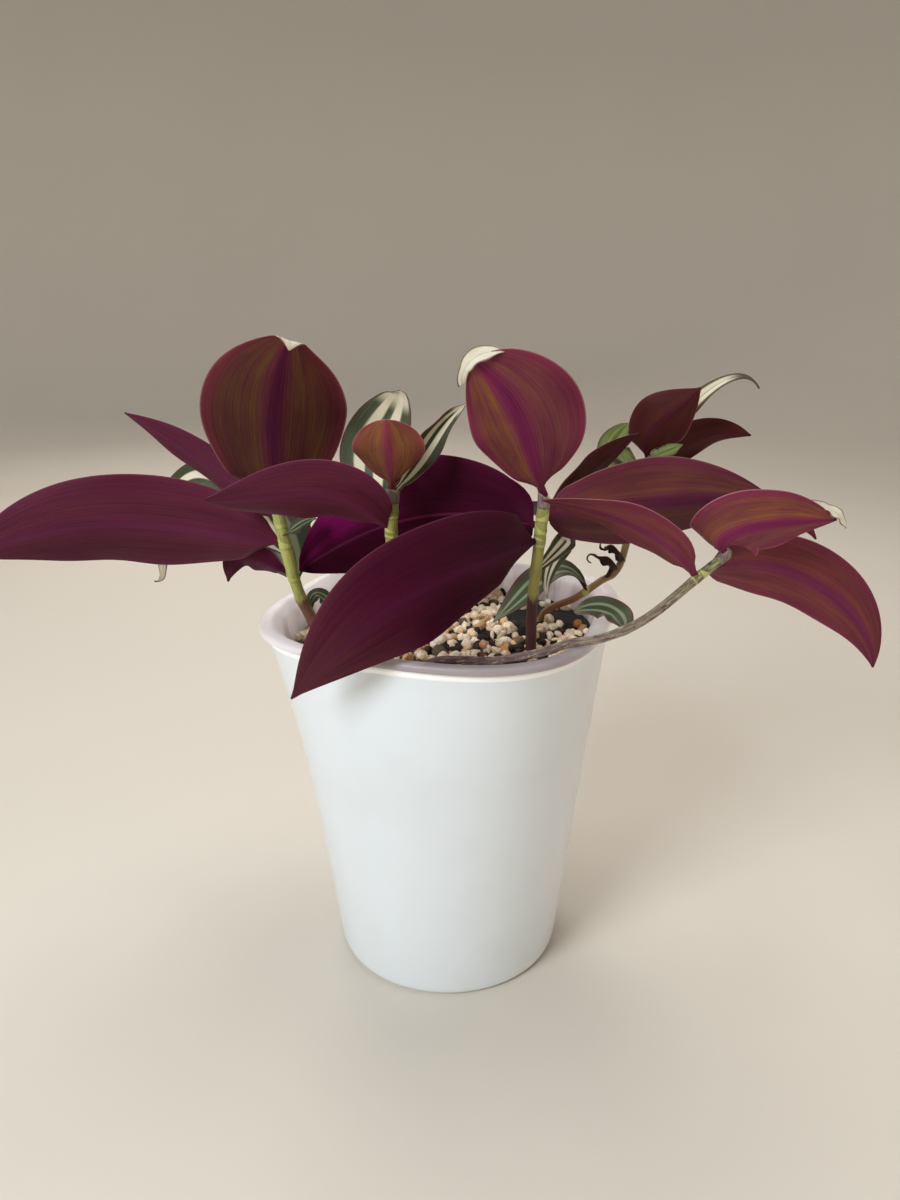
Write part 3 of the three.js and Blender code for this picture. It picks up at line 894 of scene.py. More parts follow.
@dataclass
class PotForm:
    """The shared form of pot and liner: round at the base, a soft square at the rim, turned a little."""

    height: float = 110.0
    base_radius: float = 34.7
    rim_half: float = 47.7
    wall: float = 2.2
    bulge: float = 0.06
    rim_squareness: float = 2.97
    square_rise: float = 4.2
    turn: float = math.radians(-19)
    sides: int = 144

    def half(self, z: float) -> float:
        """Half the outside width across the flats at a height."""
        s = z / self.height
        return self.base_radius + (self.rim_half - self.base_radius) * (s + self.bulge * s * (1 - s))

    def stretch(self, angle: np.ndarray, z: np.ndarray) -> np.ndarray:
        """How far the soft square reaches in a direction, over half its width across the flats."""
        power = 2 + (self.rim_squareness - 2) * np.clip(np.asarray(z) / self.height, 0, 1) ** self.square_rise
        turned = np.asarray(angle) - self.turn
        return (np.abs(np.cos(turned)) ** power + np.abs(np.sin(turned)) ** power) ** (-1 / power)

    def side(self, inset: float, low: float, high: float, count: int = 14) -> list[tuple[float, float]]:
        """Points of a wall that runs with the pot's outside.

        Args:
            inset: How far inside it the wall lies.
            low: Height of the first point.
            high: Height of the last point.
            count: How many points there are.

        Returns:
            Pairs of half width and height.
        """
        return [(self.half(float(z)) - inset, float(z)) for z in np.linspace(low, high, count)]

    def turned(self, profile: Sequence[tuple[float, float]]) -> tuple[np.ndarray, list[Sequence[int]]]:
        """Turn a profile about the pot's axis and square it off towards the rim.

        Args:
            profile: Half widths and heights, from the axis round the outside and back to the axis.

        Returns:
            Vertices and faces of a closed body.
        """
        angles = circle_angles(self.sides)
        rings = [(half, z) for half, z in profile if half > 0]
        points = [
            (half * s * math.cos(a), half * s * math.sin(a), z)
            for half, z in rings
            for a, s in zip(angles, self.stretch(angles, np.full(self.sides, z)))
        ]
        starts = [ring * self.sides for ring in range(len(rings))]
        faces: list[Sequence[int]] = []
        for low, high in zip(starts, starts[1:]):
            faces += band_faces(low, high, self.sides)
        for height, start, flip in ((profile[0][1], starts[0], True), (profile[-1][1], starts[-1], False)):
            faces += fan_faces(len(points), start, self.sides, flip)
            points.append((0.0, 0.0, height))
        return np.array(points), faces


def rounded(corners: Sequence[tuple[float, float, float]], steps: int = 5) -> list[tuple[float, float]]:
    """Round the corners of a profile.

    Args:
        corners: Half width, height and how far the rounding starts from each corner.
        steps: Points on each rounding.

    Returns:
        Pairs of half width and height.
    """
    points = []
    for i, (x, z, radius) in enumerate(corners):
        here = np.array([x, z])
        if radius <= 0 or i in (0, len(corners) - 1):
            points.append((x, z))
            continue
        before = np.array(corners[i - 1][:2]) - here
        after = np.array(corners[i + 1][:2]) - here
        first = here + before * min(radius / np.linalg.norm(before), 0.49)
        last = here + after * min(radius / np.linalg.norm(after), 0.49)
        for t in np.linspace(0, 1, steps):
            spot = (1 - t) ** 2 * first + 2 * t * (1 - t) * here + t * t * last
            points.append((float(spot[0]), float(spot[1])))
    return points


@dataclass
class OuterPot:
    """The glossy white pot."""

    form: PotForm = field(default_factory=PotForm)
    floor: float = 3.0
    foot_radius: float = 3.2
    foot_height: float = 8.0
    rim_round: float = 1.6
    rim_flare: float = 0.5
    rim_height: float = 3.0
    corner_height: float = 3.0

    def build(self) -> bpy.types.Object:
        """Build and seat the pot."""
        form = self.form
        top, foot = form.height, self.foot_height
        under_rim = top - self.rim_height
        over_floor = self.floor + self.corner_height
        profile = rounded([
            (0.0, 0.0, 0.0),
            (form.base_radius - self.foot_radius, 0.0, 1.0),
            (form.base_radius - 0.2, 0.5, 1.6),
            (form.half(self.foot_radius), self.foot_radius, 0.6),
            (form.half(foot), foot, 0.0),
        ])[:-1]
        profile += form.side(0.0, foot, under_rim, 22)
        profile += rounded([
            (form.half(under_rim), under_rim, 0.0),
            (form.rim_half + self.rim_flare, top, self.rim_round),
            (form.rim_half - form.wall, top, 0.6),
            (form.half(under_rim) - form.wall, under_rim, 0.0),
        ], 6)[1:-1]
        profile += form.side(form.wall, under_rim, over_floor, 16)
        profile += rounded([
            (form.half(over_floor) - form.wall, over_floor, 0.0),
            (form.half(self.floor) - form.wall, self.floor, 2.0),
            (0.0, self.floor, 0.0),
        ])[1:]
        vertices, faces = form.turned(profile)
        return seat(make_piece("white_pot", vertices, faces, [WhitePlastic().make()]), "outer_pot")


@dataclass
class InnerLiner:
    """The thin frosted liner that hangs in the pot by its thick lip."""

    form: PotForm = field(default_factory=PotForm)
    lip_half: float = 49.4
    lip_width: float = 3.4
    lip_under: float = 110.3
    top: float = 112.4
    gap: float = 0.9
    wall: float = 1.2
    bottom: float = 8.0
    drain_holes: int = 5
    drain_radius: float = 3.5
    drain_reach: float = 17.35
    drill_over: float = 2.0
    side_low: float = 12.0
    side_high: float = 108.6
    inside_high: float = 106.0
    lip_seat: float = 2.6

    def build(self) -> bpy.types.Object:
        """Build and seat the liner."""
        form = self.form
        outside = form.wall + self.gap
        inside = outside + self.wall
        floor = self.bottom + self.wall
        low, high, inside_high = self.side_low, self.side_high, self.inside_high
        profile = rounded([
            (0.0, self.bottom, 0.0),
            (form.half(self.bottom) - outside, self.bottom, 1.6),
            (form.half(low) - outside, low, 0.0),
        ])[:-1]
        profile += form.side(outside, low, high, 16)
        profile += rounded([
            (form.half(high) - outside, high, 0.0),
            (form.rim_half - self.lip_seat, self.lip_under, 0.5),
            (self.lip_half, self.lip_under, 0.7),
            (self.lip_half, self.top, 1.2),
            (self.lip_half - self.lip_width, self.top, 1.4),
            (form.half(self.lip_under) - inside, self.lip_under - 0.4, 0.8),
            (form.half(inside_high) - inside, inside_high, 0.0),
        ], 7)[1:-1]
        profile += form.side(inside, inside_high, low, 16)
        profile += rounded([
            (form.half(low) - inside, low, 0.0),
            (form.half(floor) - inside, floor, 0.8),
            (0.0, floor, 0.0),
        ])[1:]
        vertices, faces = form.turned(profile)
        piece = make_piece("frosted_liner", vertices, faces, [FrostedPlastic().make()])
        self.drill(piece)
        return seat(piece, "inner_liner")

    def drill(self, piece: bpy.types.Object) -> None:
        """Cut the drain holes in the liner's floor.

        Args:
            piece: The liner.
        """
        turns = circle_angles(24)
        n, radius = len(turns), self.drain_radius
        points: list[Point] = []
        faces: list[Sequence[int]] = []
        for hole in range(self.drain_holes):
            angle = 2 * math.pi * hole / self.drain_holes
            x, y = self.drain_reach * math.cos(angle), self.drain_reach * math.sin(angle)
            start = len(points)
            for z in (self.bottom - self.drill_over, self.bottom + self.wall + self.drill_over):
                points += [(x + radius * math.cos(t), y + radius * math.sin(t), z) for t in turns]
            faces.append(tuple(range(start + n - 1, start - 1, -1)))
            faces.append(tuple(range(start + n, start + 2 * n)))
            faces += band_faces(start, start + n, n)
        drills = make_piece("drills", np.array(points), faces, [])
        cut = piece.modifiers.new("holes", "BOOLEAN")
        cut.object = drills
        cut.solver = "EXACT"
        graph = bpy.context.evaluated_depsgraph_get()
        mesh = bpy.data.meshes.new_from_object(piece.evaluated_get(graph))
        piece.modifiers.clear()
        piece.data = mesh
        bpy.data.objects.remove(drills)


@dataclass
class PottingMix:
    """Dark soil that fills the liner, and the pumice grains that cover it."""

    form: PotForm = field(default_factory=PotForm)
    top: float = 102.6
    clearance: float = 4.6
    bottom: float = 9.5
    mound: float = 1.3
    foot_inset: float = 1.0
    side_low: float = 14.0
    surface_rings: int = 22
    level_within: tuple[float, float] = (34, 44)
    bed_inset: float = 1.2
    bed_lift: float = 0.5
    grain_radius: float = 1.5
    grain_gap: float = 2.8
    seed: int = 11

    # Metres, or features in a metre, because the tree works in metres.
    PATCH_SCALE = 75.0
    BARE_CENTRE = (0.031, 0.013, 0.0)
    BARE_SCALE = (66.0, 110.0, 0.0)
    BARE_COVER = 0.06
    DENSITY = 4.0e5
    JOG = 0.0004
    LUMP_SCALE = 700.0
    LUMP_PUSH = 0.0015

    def build(self) -> list[bpy.types.Object]:
        """Build and seat the soil and the grains."""
        form = self.form
        rings = self.surface_rings
        surface = [(form.half(self.top) - self.clearance) * (1 - i / rings) for i in range(1, rings)]
        profile = [(0.0, self.bottom), (form.half(self.bottom) - self.clearance - self.foot_inset, self.bottom)]
        profile += form.side(self.clearance, self.side_low, self.top, 12) + [(half, self.top) for half in surface]
        profile.append((0.0, self.top))
        vertices, faces = form.turned(profile)
        on_top = vertices[:, 2] > self.top - 0.01
        vertices[on_top, 2] += self.heave(vertices[on_top, 0], vertices[on_top, 1])
        soil = make_piece("dark_soil", vertices, faces, [DarkSoil().make()])
        seat(soil, "soil")
        return [soil, self.scatter()]

    def heave(self, x: np.ndarray, y: np.ndarray) -> np.ndarray:
        """How far the surface rises or sinks.

        Args:
            x: Place across.
            y: Place in depth.

        Returns:
            Rise in millimetres, nothing at the wall.
        """
        waves = np.sin(x * 0.11 + 1.0) * np.cos(y * 0.13) + 0.6 * np.sin(x * 0.27 - y * 0.21)
        middle = 1 - smoothstep(*self.level_within, np.hypot(x, y))
        return self.mound * (waves * 0.6 + 0.25) * middle

    def scatter(self) -> bpy.types.Object:
        """Lay the pumice grains on the soil."""
        values = {
            "Grain Radius": self.grain_radius * MM,
            "Grain Gap": self.grain_gap * MM,
            "Seed": self.seed,
            "Finish": Pumice().make(),
        }
        return seat(apply_nodes(self.bed(), self.grain_tree(), values))

    def bed(self) -> bpy.types.Object:
        """Make the sheet that the grains are strewn on."""
        rings, sides = 16, 72
        angles = circle_angles(sides)
        half = self.form.half(self.top) - self.clearance - self.bed_inset
        reach = half * self.form.stretch(angles, np.full(sides, self.top))
        points = [(0.0, 0.0, self.top + float(self.heave(np.array(0.0), np.array(0.0))))]
        for ring in range(1, rings + 1):
            x, y = reach * np.cos(angles) * ring / rings, reach * np.sin(angles) * ring / rings
            points += list(zip(x, y, self.top + self.heave(x, y) + self.bed_lift))
        faces = fan_faces(0, 1, sides)
        for low in range(1, 1 + (rings - 1) * sides, sides):
            faces += band_faces(low, low + sides, sides, flip=True)
        return make_piece("pumice_grains", np.array(points), faces, [])

    def grain_tree(self) -> bpy.types.NodeTree:
        """Write the tree that strews two layers of grains, each lumpy and turned its own way."""
        weave = Weave("strewn_grains", {
            "Grain Radius": ("NodeSocketFloat", 0.0018),
            "Grain Gap": ("NodeSocketFloat", 0.002),
            "Seed": ("NodeSocketInt", 1),
            "Finish": ("NodeSocketMaterial", None),
        })
        patches = weave.node("ShaderNodeTexNoise", {}, {"Scale": self.PATCH_SCALE, "Detail": 1.0}, "Fac")
        gaps = weave.node("ShaderNodeMapRange", {}, {0: patches, 1: 0.32, 2: 0.38})
        place = weave.node("GeometryNodeInputPosition", {}, {})
        offset = weave.node("ShaderNodeVectorMath", {"operation": "SUBTRACT"}, {0: place, 1: self.BARE_CENTRE})
        scaled = weave.node("ShaderNodeVectorMath", {"operation": "MULTIPLY"}, {0: offset, 1: self.BARE_SCALE})
        reach = weave.node("ShaderNodeVectorMath", {"operation": "LENGTH"}, {0: scaled}, "Value")
        away = weave.node("ShaderNodeMapRange", {}, {0: reach, 1: 0.8, 2: 1.1, 3: self.BARE_COVER})
        cover = weave.maths("MULTIPLY", gaps, away)
        jog = self.JOG
        joined = weave.tree.nodes.new("GeometryNodeJoinGeometry")
        for layer, (gap, low, high, lift) in enumerate(((1.0, 0.7, 1.6, 0.1), (1.4, 0.4, 1.0, 0.8))):
            seed = weave.maths("ADD", weave.given("Seed"), 10.0 * layer)
            spacing = weave.maths("MULTIPLY", weave.given("Grain Gap"), gap)
            strewn = weave.node(
                "GeometryNodeDistributePointsOnFaces",
                {"distribute_method": "POISSON"},
                {"Mesh": weave.given("Geometry"), "Distance Min": spacing, "Density Max": self.DENSITY,
                 "Density Factor": cover, "Seed": seed},
            )
            moves = weave.random_vector((-jog, -jog, -0.0006 + lift * 0.0008), (jog, jog, lift * 0.0016), seed)
            moved = weave.node("GeometryNodeSetPosition", {}, {0: strewn, "Offset": moves})
            size = weave.random_vector((low, low, low * 0.85), (high, high, high), seed)
            turn = weave.random_vector((-0.6, -0.6, 0.0), (0.6, 0.6, 6.28), seed)
            ball = weave.node(
                "GeometryNodeMeshIcoSphere", {}, {"Radius": weave.given("Grain Radius"), "Subdivisions": 2}
            )
            grains = weave.node(
                "GeometryNodeInstanceOnPoints", {},
                {"Points": moved, "Instance": ball, "Rotation": turn, "Scale": size},
            )
            tone = weave.node(
                "FunctionNodeRandomValue", {"data_type": "FLOAT"}, {2: 0.0, 3: 1.0, "Seed": seed}, 1
            )
            toned = weave.node(
                "GeometryNodeStoreNamedAttribute", {"data_type": "FLOAT", "domain": "INSTANCE"},
                {"Geometry": grains, "Name": "tone", "Value": tone},
            )
            weave.tree.links.new(toned, joined.inputs[0])
        real = weave.node("GeometryNodeRealizeInstances", {}, {0: joined.outputs[0]})
        lumps = weave.node("ShaderNodeTexNoise", {}, {"Scale": self.LUMP_SCALE, "Detail": 2.0}, "Color")
        centred = weave.node("ShaderNodeVectorMath", {"operation": "SUBTRACT"}, {0: lumps, 1: (0.5, 0.5, 0.5)})
        push = weave.node("ShaderNodeVectorMath", {"operation": "SCALE"}, {0: centred, "Scale": self.LUMP_PUSH})
        lumpy = weave.node("GeometryNodeSetPosition", {}, {0: real, "Offset": push})
        return weave.close(lumpy, weave.given("Finish"))


# ---------------------------------------------------------------- the plant


@dataclass
class StemForm:
    """One stem: the points it passes through from root to tip, and where its joints are."""

    name: str
    radius: float
    through: list[Point]
    finish: FleshyStem
    knobs: tuple[float, ...] = ()

    COUNT = 90
    SIDES = 16
    WAIST = 0.07
    KNOB_REACH = 1.3
    KNOB_SWELL = 0.12
    NEAR = 0.01

    def points(self, shares: Union[float, np.ndarray]) -> np.ndarray:
        """Points on the centre line.

        Args:
            shares: Places from 0 at the root to 1 at the tip.

        Returns:
            One point for each.
        """
        own = np.array(self.through, float)
        last = len(own) - 1
        run = np.vstack([2 * own[0] - own[1], own, 2 * own[-1] - own[-2]])
        s = np.clip(np.atleast_1d(np.asarray(shares, float)) * last, 0, last - 1e-9)
        i = s.astype(int)
        w = (s - i)[:, None]
        a, b, c, d = run[i], run[i + 1], run[i + 2], run[i + 3]
        return 0.5 * (2 * b + (c - a) * w + (2 * a - 5 * b + 4 * c - d) * w**2 + (3 * b - a - 3 * c + d) * w**3)

    def heading(self, share: float) -> np.ndarray:
        """Which way the stem runs at a place."""
        ends = self.points(np.array([max(share - self.NEAR, 0), min(share + self.NEAR, 1)]))
        return unit(ends[1] - ends[0])

    def build(self, tree: bpy.types.NodeTree) -> bpy.types.Object:
        """Build the stem with the tube tree and seat it.

        Args:
            tree: The tree that turns a line into a tube.

        Returns:
            The piece.
        """
        count = self.COUNT
        share = np.linspace(0, 1, count)
        points = self.points(share)
        along = np.concatenate([[0], np.cumsum(np.linalg.norm(np.diff(points, axis=0), axis=1))])
        knob = np.zeros(count)
        for place in self.knobs:
            gap = (share - place) * along[-1]
            knob = np.maximum(knob, np.exp(-((gap / self.KNOB_REACH) ** 2)))
        waist = 1 - self.WAIST * np.sin(np.pi * share) ** 2
        girth = self.radius * waist * (1 + self.KNOB_SWELL * knob)
        line = bpy.data.meshes.new(f"{self.name}_line")
        line.from_pydata((points * MM).tolist(), [(i, i + 1) for i in range(count - 1)], [])
        for key, values in {"along": along, "share": share, "knob": knob, "girth": girth * MM}.items():
            line.attributes.new(key, "FLOAT", "POINT").data.foreach_set("value", values.astype(np.float32))
        start = bpy.data.objects.new(f"fleshy_{self.name}", line)
        bpy.context.scene.collection.objects.link(start)
        piece = apply_nodes(start, tree, {"Sides": self.SIDES, "Finish": self.finish.make()})
        return seat(piece, f"stem_{self.name}")


def tube_tree() -> bpy.types.NodeTree:
    """Write the tree that turns a line with a stored girth into a closed tube."""
    weave = Weave("stem_tube", {"Sides": ("NodeSocketInt", 12), "Finish": ("NodeSocketMaterial", None)})
    curve = weave.node("GeometryNodeMeshToCurve", {}, {"Mesh": weave.given("Geometry")})
    girth = weave.node("GeometryNodeInputNamedAttribute", {"data_type": "FLOAT"}, {"Name": "girth"})
    ring = weave.node("GeometryNodeCurvePrimitiveCircle", {}, {"Resolution": weave.given("Sides"), "Radius": 1.0})
    around = weave.node("GeometryNodeSplineParameter", {}, {})
    marked = weave.node(
        "GeometryNodeStoreNamedAttribute", {"data_type": "FLOAT", "domain": "POINT"},
        {"Geometry": ring, "Name": "around", "Value": around},
    )
    tube = weave.node(
        "GeometryNodeCurveToMesh", {}, {"Curve": curve, "Profile Curve": marked, "Scale": girth, "Fill Caps": True}
    )
    return weave.close(tube, weave.given("Finish"))


@dataclass
class Leaf:
    """One leaf: where it grows, its midrib, its outline and the way it curls."""

    name: str
    stem: str
    at: float
    width: float
    up: Point
    midrib: list[Point]
    look: Look = Look.BURGUNDY
    fold: float = 5.0
    cup: float = 15.0
    blunt: float = 0.55
    sharp: float = 0.85
    widest: float = 0.42
    tip_up: Optional[Point] = None
    grown_in: bool = False
    curl: tuple[float, float] = (0.0, 0.0)
    wave: float = 0.5
    face: Optional[Look] = None
    root: Optional[Point] = None
    # Painted light and shade: tone makes the underside lighter or darker at the base, middle and tip, and halves does
    # so on each half.
    tone: tuple[float, float, float] = (1.0, 1.0, 1.0)
    halves: tuple[float, float] = (1.0, 1.0)
    lopsided: float = 0.0
    bare: bool = False

    # Millimetres and degrees, or shares of a length.
    NECK = 2.4
    TIP = 0.5
    STALK = 3.0
    THICK = 0.55
    THIN = 0.22
    WRAP = 100.0
    WRAPPED = 0.6
    BASE = 0.1
    RIB = 0.35
    RIB_REACH = 0.07
    RIPPLE_POWER = 2.2
    CURL_STEP = 0.8
    FINE_WIDTH = 14
    FINE_GRID = (46, 25)
    COARSE_GRID = (28, 13)
    AT_TIP = 0.999
    FACES_AWAY = 0.6

    SHEATH_GRID = (7, 20)
    SHEATH_FOOT = -1.4
    SHEATH_HEAD = 0.5
    SHEATH_TONGUE = 1.1
    SHEATH_FLARE = 0.03
    SHEATH_GAP = 0.02
    SHEATH_THICK = 0.1
    COLLAR_FOOT = -2.6
    COLLAR_SPREAD = 0.12

    def spine(self, stems: dict[str, StemForm], rows: int) -> tuple[np.ndarray, np.ndarray, np.ndarray, np.ndarray]:
        """Places along the midrib.

        Args:
            stems: Every stem by name.
            rows: How many places there are.

        Returns:
            Points, headings, upward directions and distances along the leaf.
        """
        root = stems[self.stem].points(self.at) if self.root is None else np.array([self.root], float)
        p = np.vstack([root, np.array(self.midrib, float)])
        ends = [p[0], (-5 * p[0] + 18 * p[1] - 9 * p[2] + 2 * p[3]) / 6,
                (2 * p[0] - 9 * p[1] + 18 * p[2] - 5 * p[3]) / 6, p[3]]
        t = np.linspace(0, 1, rows)[:, None]
        point = ((1 - t) ** 3 * ends[0] + 3 * t * (1 - t) ** 2 * ends[1]
                 + 3 * t**2 * (1 - t) * ends[2] + t**3 * ends[3])
        heading = unit(3 * (1 - t) ** 2 * (ends[1] - ends[0]) + 6 * t * (1 - t) * (ends[2] - ends[1])
                       + 3 * t**2 * (ends[3] - ends[2]))
        up = (1 - t) * np.array(self.up, float) + t * np.array(self.tip_up or self.up, float)
        up = unit(up - (up * heading).sum(1, keepdims=True) * heading)
        reach, bend = self.curl
        if reach > 0:
            steps = max(3, int(reach / self.CURL_STEP))
            swing = np.radians(abs(bend)) * np.arange(1, steps + 1)[:, None] / steps
            radius = reach / np.radians(abs(bend))
            sign = math.copysign(1.0, bend)
            last, ahead, above = point[-1], heading[-1], up[-1] * sign
            point = np.vstack([point, last + radius * (np.sin(swing) * ahead - (1 - np.cos(swing)) * above)])
            heading = np.vstack([heading, np.cos(swing) * ahead - np.sin(swing) * above])
            up = np.vstack([up, (np.sin(swing) * ahead + np.cos(swing) * above) * sign])
        along = np.concatenate([[0], np.cumsum(np.linalg.norm(np.diff(point, axis=0), axis=1))])
        return point, heading, up, along

    def build(self, stems: dict[str, StemForm], wardrobe: "Wardrobe", seed: int) -> bpy.types.Object:
        """Build the blade and its sheath and seat them.

        Args:
            stems: Every stem by name.
            wardrobe: The finishes.
            seed: What sets this leaf's waves apart.

        Returns:
            The piece.
        """
        rows, columns = self.FINE_GRID if self.width > self.FINE_WIDTH else self.COARSE_GRID
        point, heading, up, along = self.spine(stems, rows)
        rows = len(point)
        across = np.sin(np.linspace(-1, 1, columns) * math.pi / 2)
        vertices = self.skins(point, heading, up, along, across, seed)
        faces, kinds = self.blade_faces(rows, columns)
        share = along / along[-1]
        # Painted light and shade along the leaf and on its two halves.
        tone = np.outer(np.interp(share, (0, 0.5, 1), self.tone), np.interp(across, (-0.3, 0.3), self.halves))
        numbers = {
            "across": np.tile(np.tile(across, rows), 2),
            "along": np.tile(np.repeat(share, columns), 2),
            "tone": np.tile(tone.ravel(), 2),
        }
        if not (self.grown_in or self.bare):
            vertices, faces, kinds, numbers = self.add_sheath(stems[self.stem], vertices, faces, kinds, numbers)
        under = wardrobe.side(self.look)
        upper = wardrobe.side(self.face or Look.SILVER)
        sheath = wardrobe.collar if self.at >= self.AT_TIP else wardrobe.sheath
        piece = make_piece(f"blade_{self.name}", vertices, faces, [under, upper, sheath], kinds, numbers)
        slot = "silver_leaf" if self.up[1] < self.FACES_AWAY else "purple_leaf"
        return seat(piece, None if self.grown_in else f"leaf_{self.name}")

    def outline(self, on: np.ndarray) -> np.ndarray:
        """Half the blade's width.

        Args:
            on: Places from 0 at the end of the stalk to 1 at the tip.

        Returns:
            Half the width at each.
        """
        bulge = np.sin(np.pi * on ** (math.log(0.5) / math.log(self.widest))).clip(0)
        outline = bulge ** (self.blunt + (self.sharp - self.blunt) * on)
        return np.maximum(0.5 * self.width * outline, 0.5 * (self.NECK + (self.TIP - self.NECK) * on))

    def ripple(self, on: np.ndarray, half: np.ndarray, across: np.ndarray, seed: int) -> np.ndarray:
        """How far the blade waves up and down, most at its edges.

        Args:
            on: Places from the end of the stalk to the tip.
            half: Half the width at each.
            across: Places from -1 to 1 across the blade.
            seed: What sets this leaf's waves apart.

        Returns:
            Millimetres for each place along and across.
        """
        rng = np.random.default_rng(seed)
        phase = rng.uniform(0, 2 * math.pi, 4)
        beat = rng.uniform(1.6, 2.6, 2)
        waves = np.where(
            across > 0,
            np.sin(2 * math.pi * beat[0] * on[:, None] + phase[0]),
            np.sin(2 * math.pi * beat[1] * on[:, None] + phase[1]),
        )
        return waves * self.wave * np.abs(across) ** self.RIPPLE_POWER * (half / half.max())[:, None]

    def skins(
        self, point: np.ndarray, heading: np.ndarray, up: np.ndarray, along: np.ndarray, across: np.ndarray, seed: int
    ) -> np.ndarray:
        """Shape the blade's two skins.

        Args:
            point: Places along the midrib.
            heading: Which way it runs at each.
            up: Which way the upper side looks at each.
            along: How far along the leaf each is.
            across: Places from -1 to 1 across the blade.
            seed: What sets this leaf's waves apart.

        Returns:
            The points of the upper skin, then those of the lower.
        """
        side = np.cross(heading, up)
        on = np.clip((along - self.STALK) / (along[-1] - self.STALK), 0, 1)
        half = self.outline(on)
        base = 1 - smoothstep(0.0, self.BASE, on)
        fold = math.radians(self.fold)
        wrapped = 0.0 if self.grown_in else self.WRAPPED
        cup = np.radians(self.cup + (self.WRAP - self.cup) * base * wrapped)[:, None]
        lean = fold + cup * np.abs(across)
        sign = np.sign(across)
        out = sign * (1 - self.lopsided * sign) * (np.sin(lean) - np.sin(fold)) / cup
        rise = (np.cos(fold) - np.cos(lean)) / cup
        tilt = np.where(across == 0, 0.0, lean)
        face = up[:, None] * np.cos(tilt)[..., None] - side[:, None] * (sign * np.sin(tilt))[..., None]
        spread = out[..., None] * side[:, None] + rise[..., None] * up[:, None]
        ripple = self.ripple(on, half, across, seed)
        middle = point[:, None] + half[:, None, None] * spread + ripple[..., None] * face
        rib = self.RIB * np.exp(-((across / self.RIB_REACH) ** 2)) * (1 - 0.7 * on[:, None])
        thick = (self.THIN + (self.THICK - self.THIN) * (1 - np.abs(across) ** 1.5))[None, :] * (1 - 0.3 * on[:, None])
        top = (middle + face * (thick / 2 - rib * 0.5)[..., None]).reshape(-1, 3)
        bottom = (middle - face * (thick / 2 + rib * 0.6)[..., None]).reshape(-1, 3)
        return np.vstack([top, bottom])

    @staticmethod
    def blade_faces(rows: int, columns: int) -> tuple[list[Sequence[int]], list[int]]:
        """List the faces of both skins and of the edge between them.

        Args:
            rows: Places along the blade.
            columns: Places across it.

        Returns:
            The faces, and which finish each has.
        """
        count = rows * columns
        faces: list[Sequence[int]] = grid_faces(rows, columns) + grid_faces(rows, columns, count, flip=True)
        kinds = [1] * (len(faces) // 2) + [0] * (len(faces) // 2)
        edge = list(range(columns)) + [row * columns + columns - 1 for row in range(1, rows)]
        edge += list(range(count - 2, count - columns - 1, -1)) + [row * columns for row in range(rows - 2, 0, -1)]
        for a, b in zip(edge, edge[1:] + edge[:1]):
            faces.append((a, count + a, count + b, b))
            kinds.append(0)
        return faces, kinds

    def add_sheath(
        self, stem: StemForm, vertices: np.ndarray, faces: list, kinds: list[int], numbers: dict[str, np.ndarray]
    ) -> tuple[np.ndarray, list, list[int], dict[str, np.ndarray]]:
        """Wrap the leaf's thin sheath round its stem.

        Args:
            stem: The stem that carries the leaf.
            vertices: The blade's points.
            faces: The blade's faces.
            kinds: Which finish each face has.
            numbers: The blade's stored numbers.

        Returns:
            The same four with the sheath added.
        """
        rings, sides = self.SHEATH_GRID
        is_tip = self.at >= self.AT_TIP
        middle = stem.points(self.at)[0]
        ahead = stem.heading(self.at)
        leaning = np.array(self.midrib[0], float) - middle
        leaning = leaning - leaning @ ahead * ahead
        first = unit(leaning) if np.linalg.norm(leaning) > 0.5 else unit(np.cross(ahead, (0.3, 1.0, 0.2)))
        second = np.cross(ahead, first)
        turns = circle_angles(sides)
        circle = np.outer(np.cos(turns), first) + np.outer(np.sin(turns), second)
        foot, spread = (self.COLLAR_FOOT, self.COLLAR_SPREAD) if is_tip else (self.SHEATH_FOOT, 0.0)
        points = []
        for depth in (0.0, self.SHEATH_THICK):
            for ring in range(rings):
                share = ring / (rings - 1)
                wider = 1.0 + self.SHEATH_FLARE * share + spread * share**3
                radius = stem.radius * wider + self.SHEATH_GAP + depth * (0.6 - 0.3 * share)
                height = foot + (self.SHEATH_HEAD - foot) * share + self.SHEATH_TONGUE * share**2 * np.cos(turns)
                points.append(middle + height[:, None] * ahead + radius * circle)
        wrapped = np.vstack(points)
        inner = len(vertices)
        skin = sides * rings
        last = (rings - 1) * sides
        for low in range(inner, inner + last, sides):
            faces += band_faces(low, low + sides, sides, flip=True)
            faces += band_faces(low + skin, low + skin + sides, sides)
        faces += band_faces(inner, inner + skin, sides)
        faces += band_faces(inner + last, inner + last + skin, sides, flip=True)
        kinds = kinds + [2] * (len(faces) - len(kinds))
        vertices = np.vstack([vertices, wrapped])
        climb = np.tile(np.repeat(np.linspace(-1, 0, rings), sides), 2)
        numbers = {
            "across": np.concatenate([numbers["across"], np.full(len(wrapped), 0.45)]),
            "along": np.concatenate([numbers["along"], climb]),
            "tone": np.concatenate([numbers["tone"], np.ones(len(wrapped))]),
        }
        return vertices, faces, kinds, numbers


class Wardrobe:
    """Makes each leaf finish once."""

    def __init__(self) -> None:
        """Make the shared finishes."""
        self.sheath = PaperySheath("papery_sheath").make()
        self.collar = PaperySheath("leaf_collar", paint(138, 130, 108), paint(108, 74, 98), 0.9).make()
        self._sides: dict[Look, bpy.types.Material] = {}

    def side(self, look: Look) -> bpy.types.Material:
        """The material of one side of a leaf.

        Args:
            look: Which one.

        Returns:
            The material.
        """
        if look not in self._sides:
            self._sides[look] = look.value.make()
        return self._sides[look]


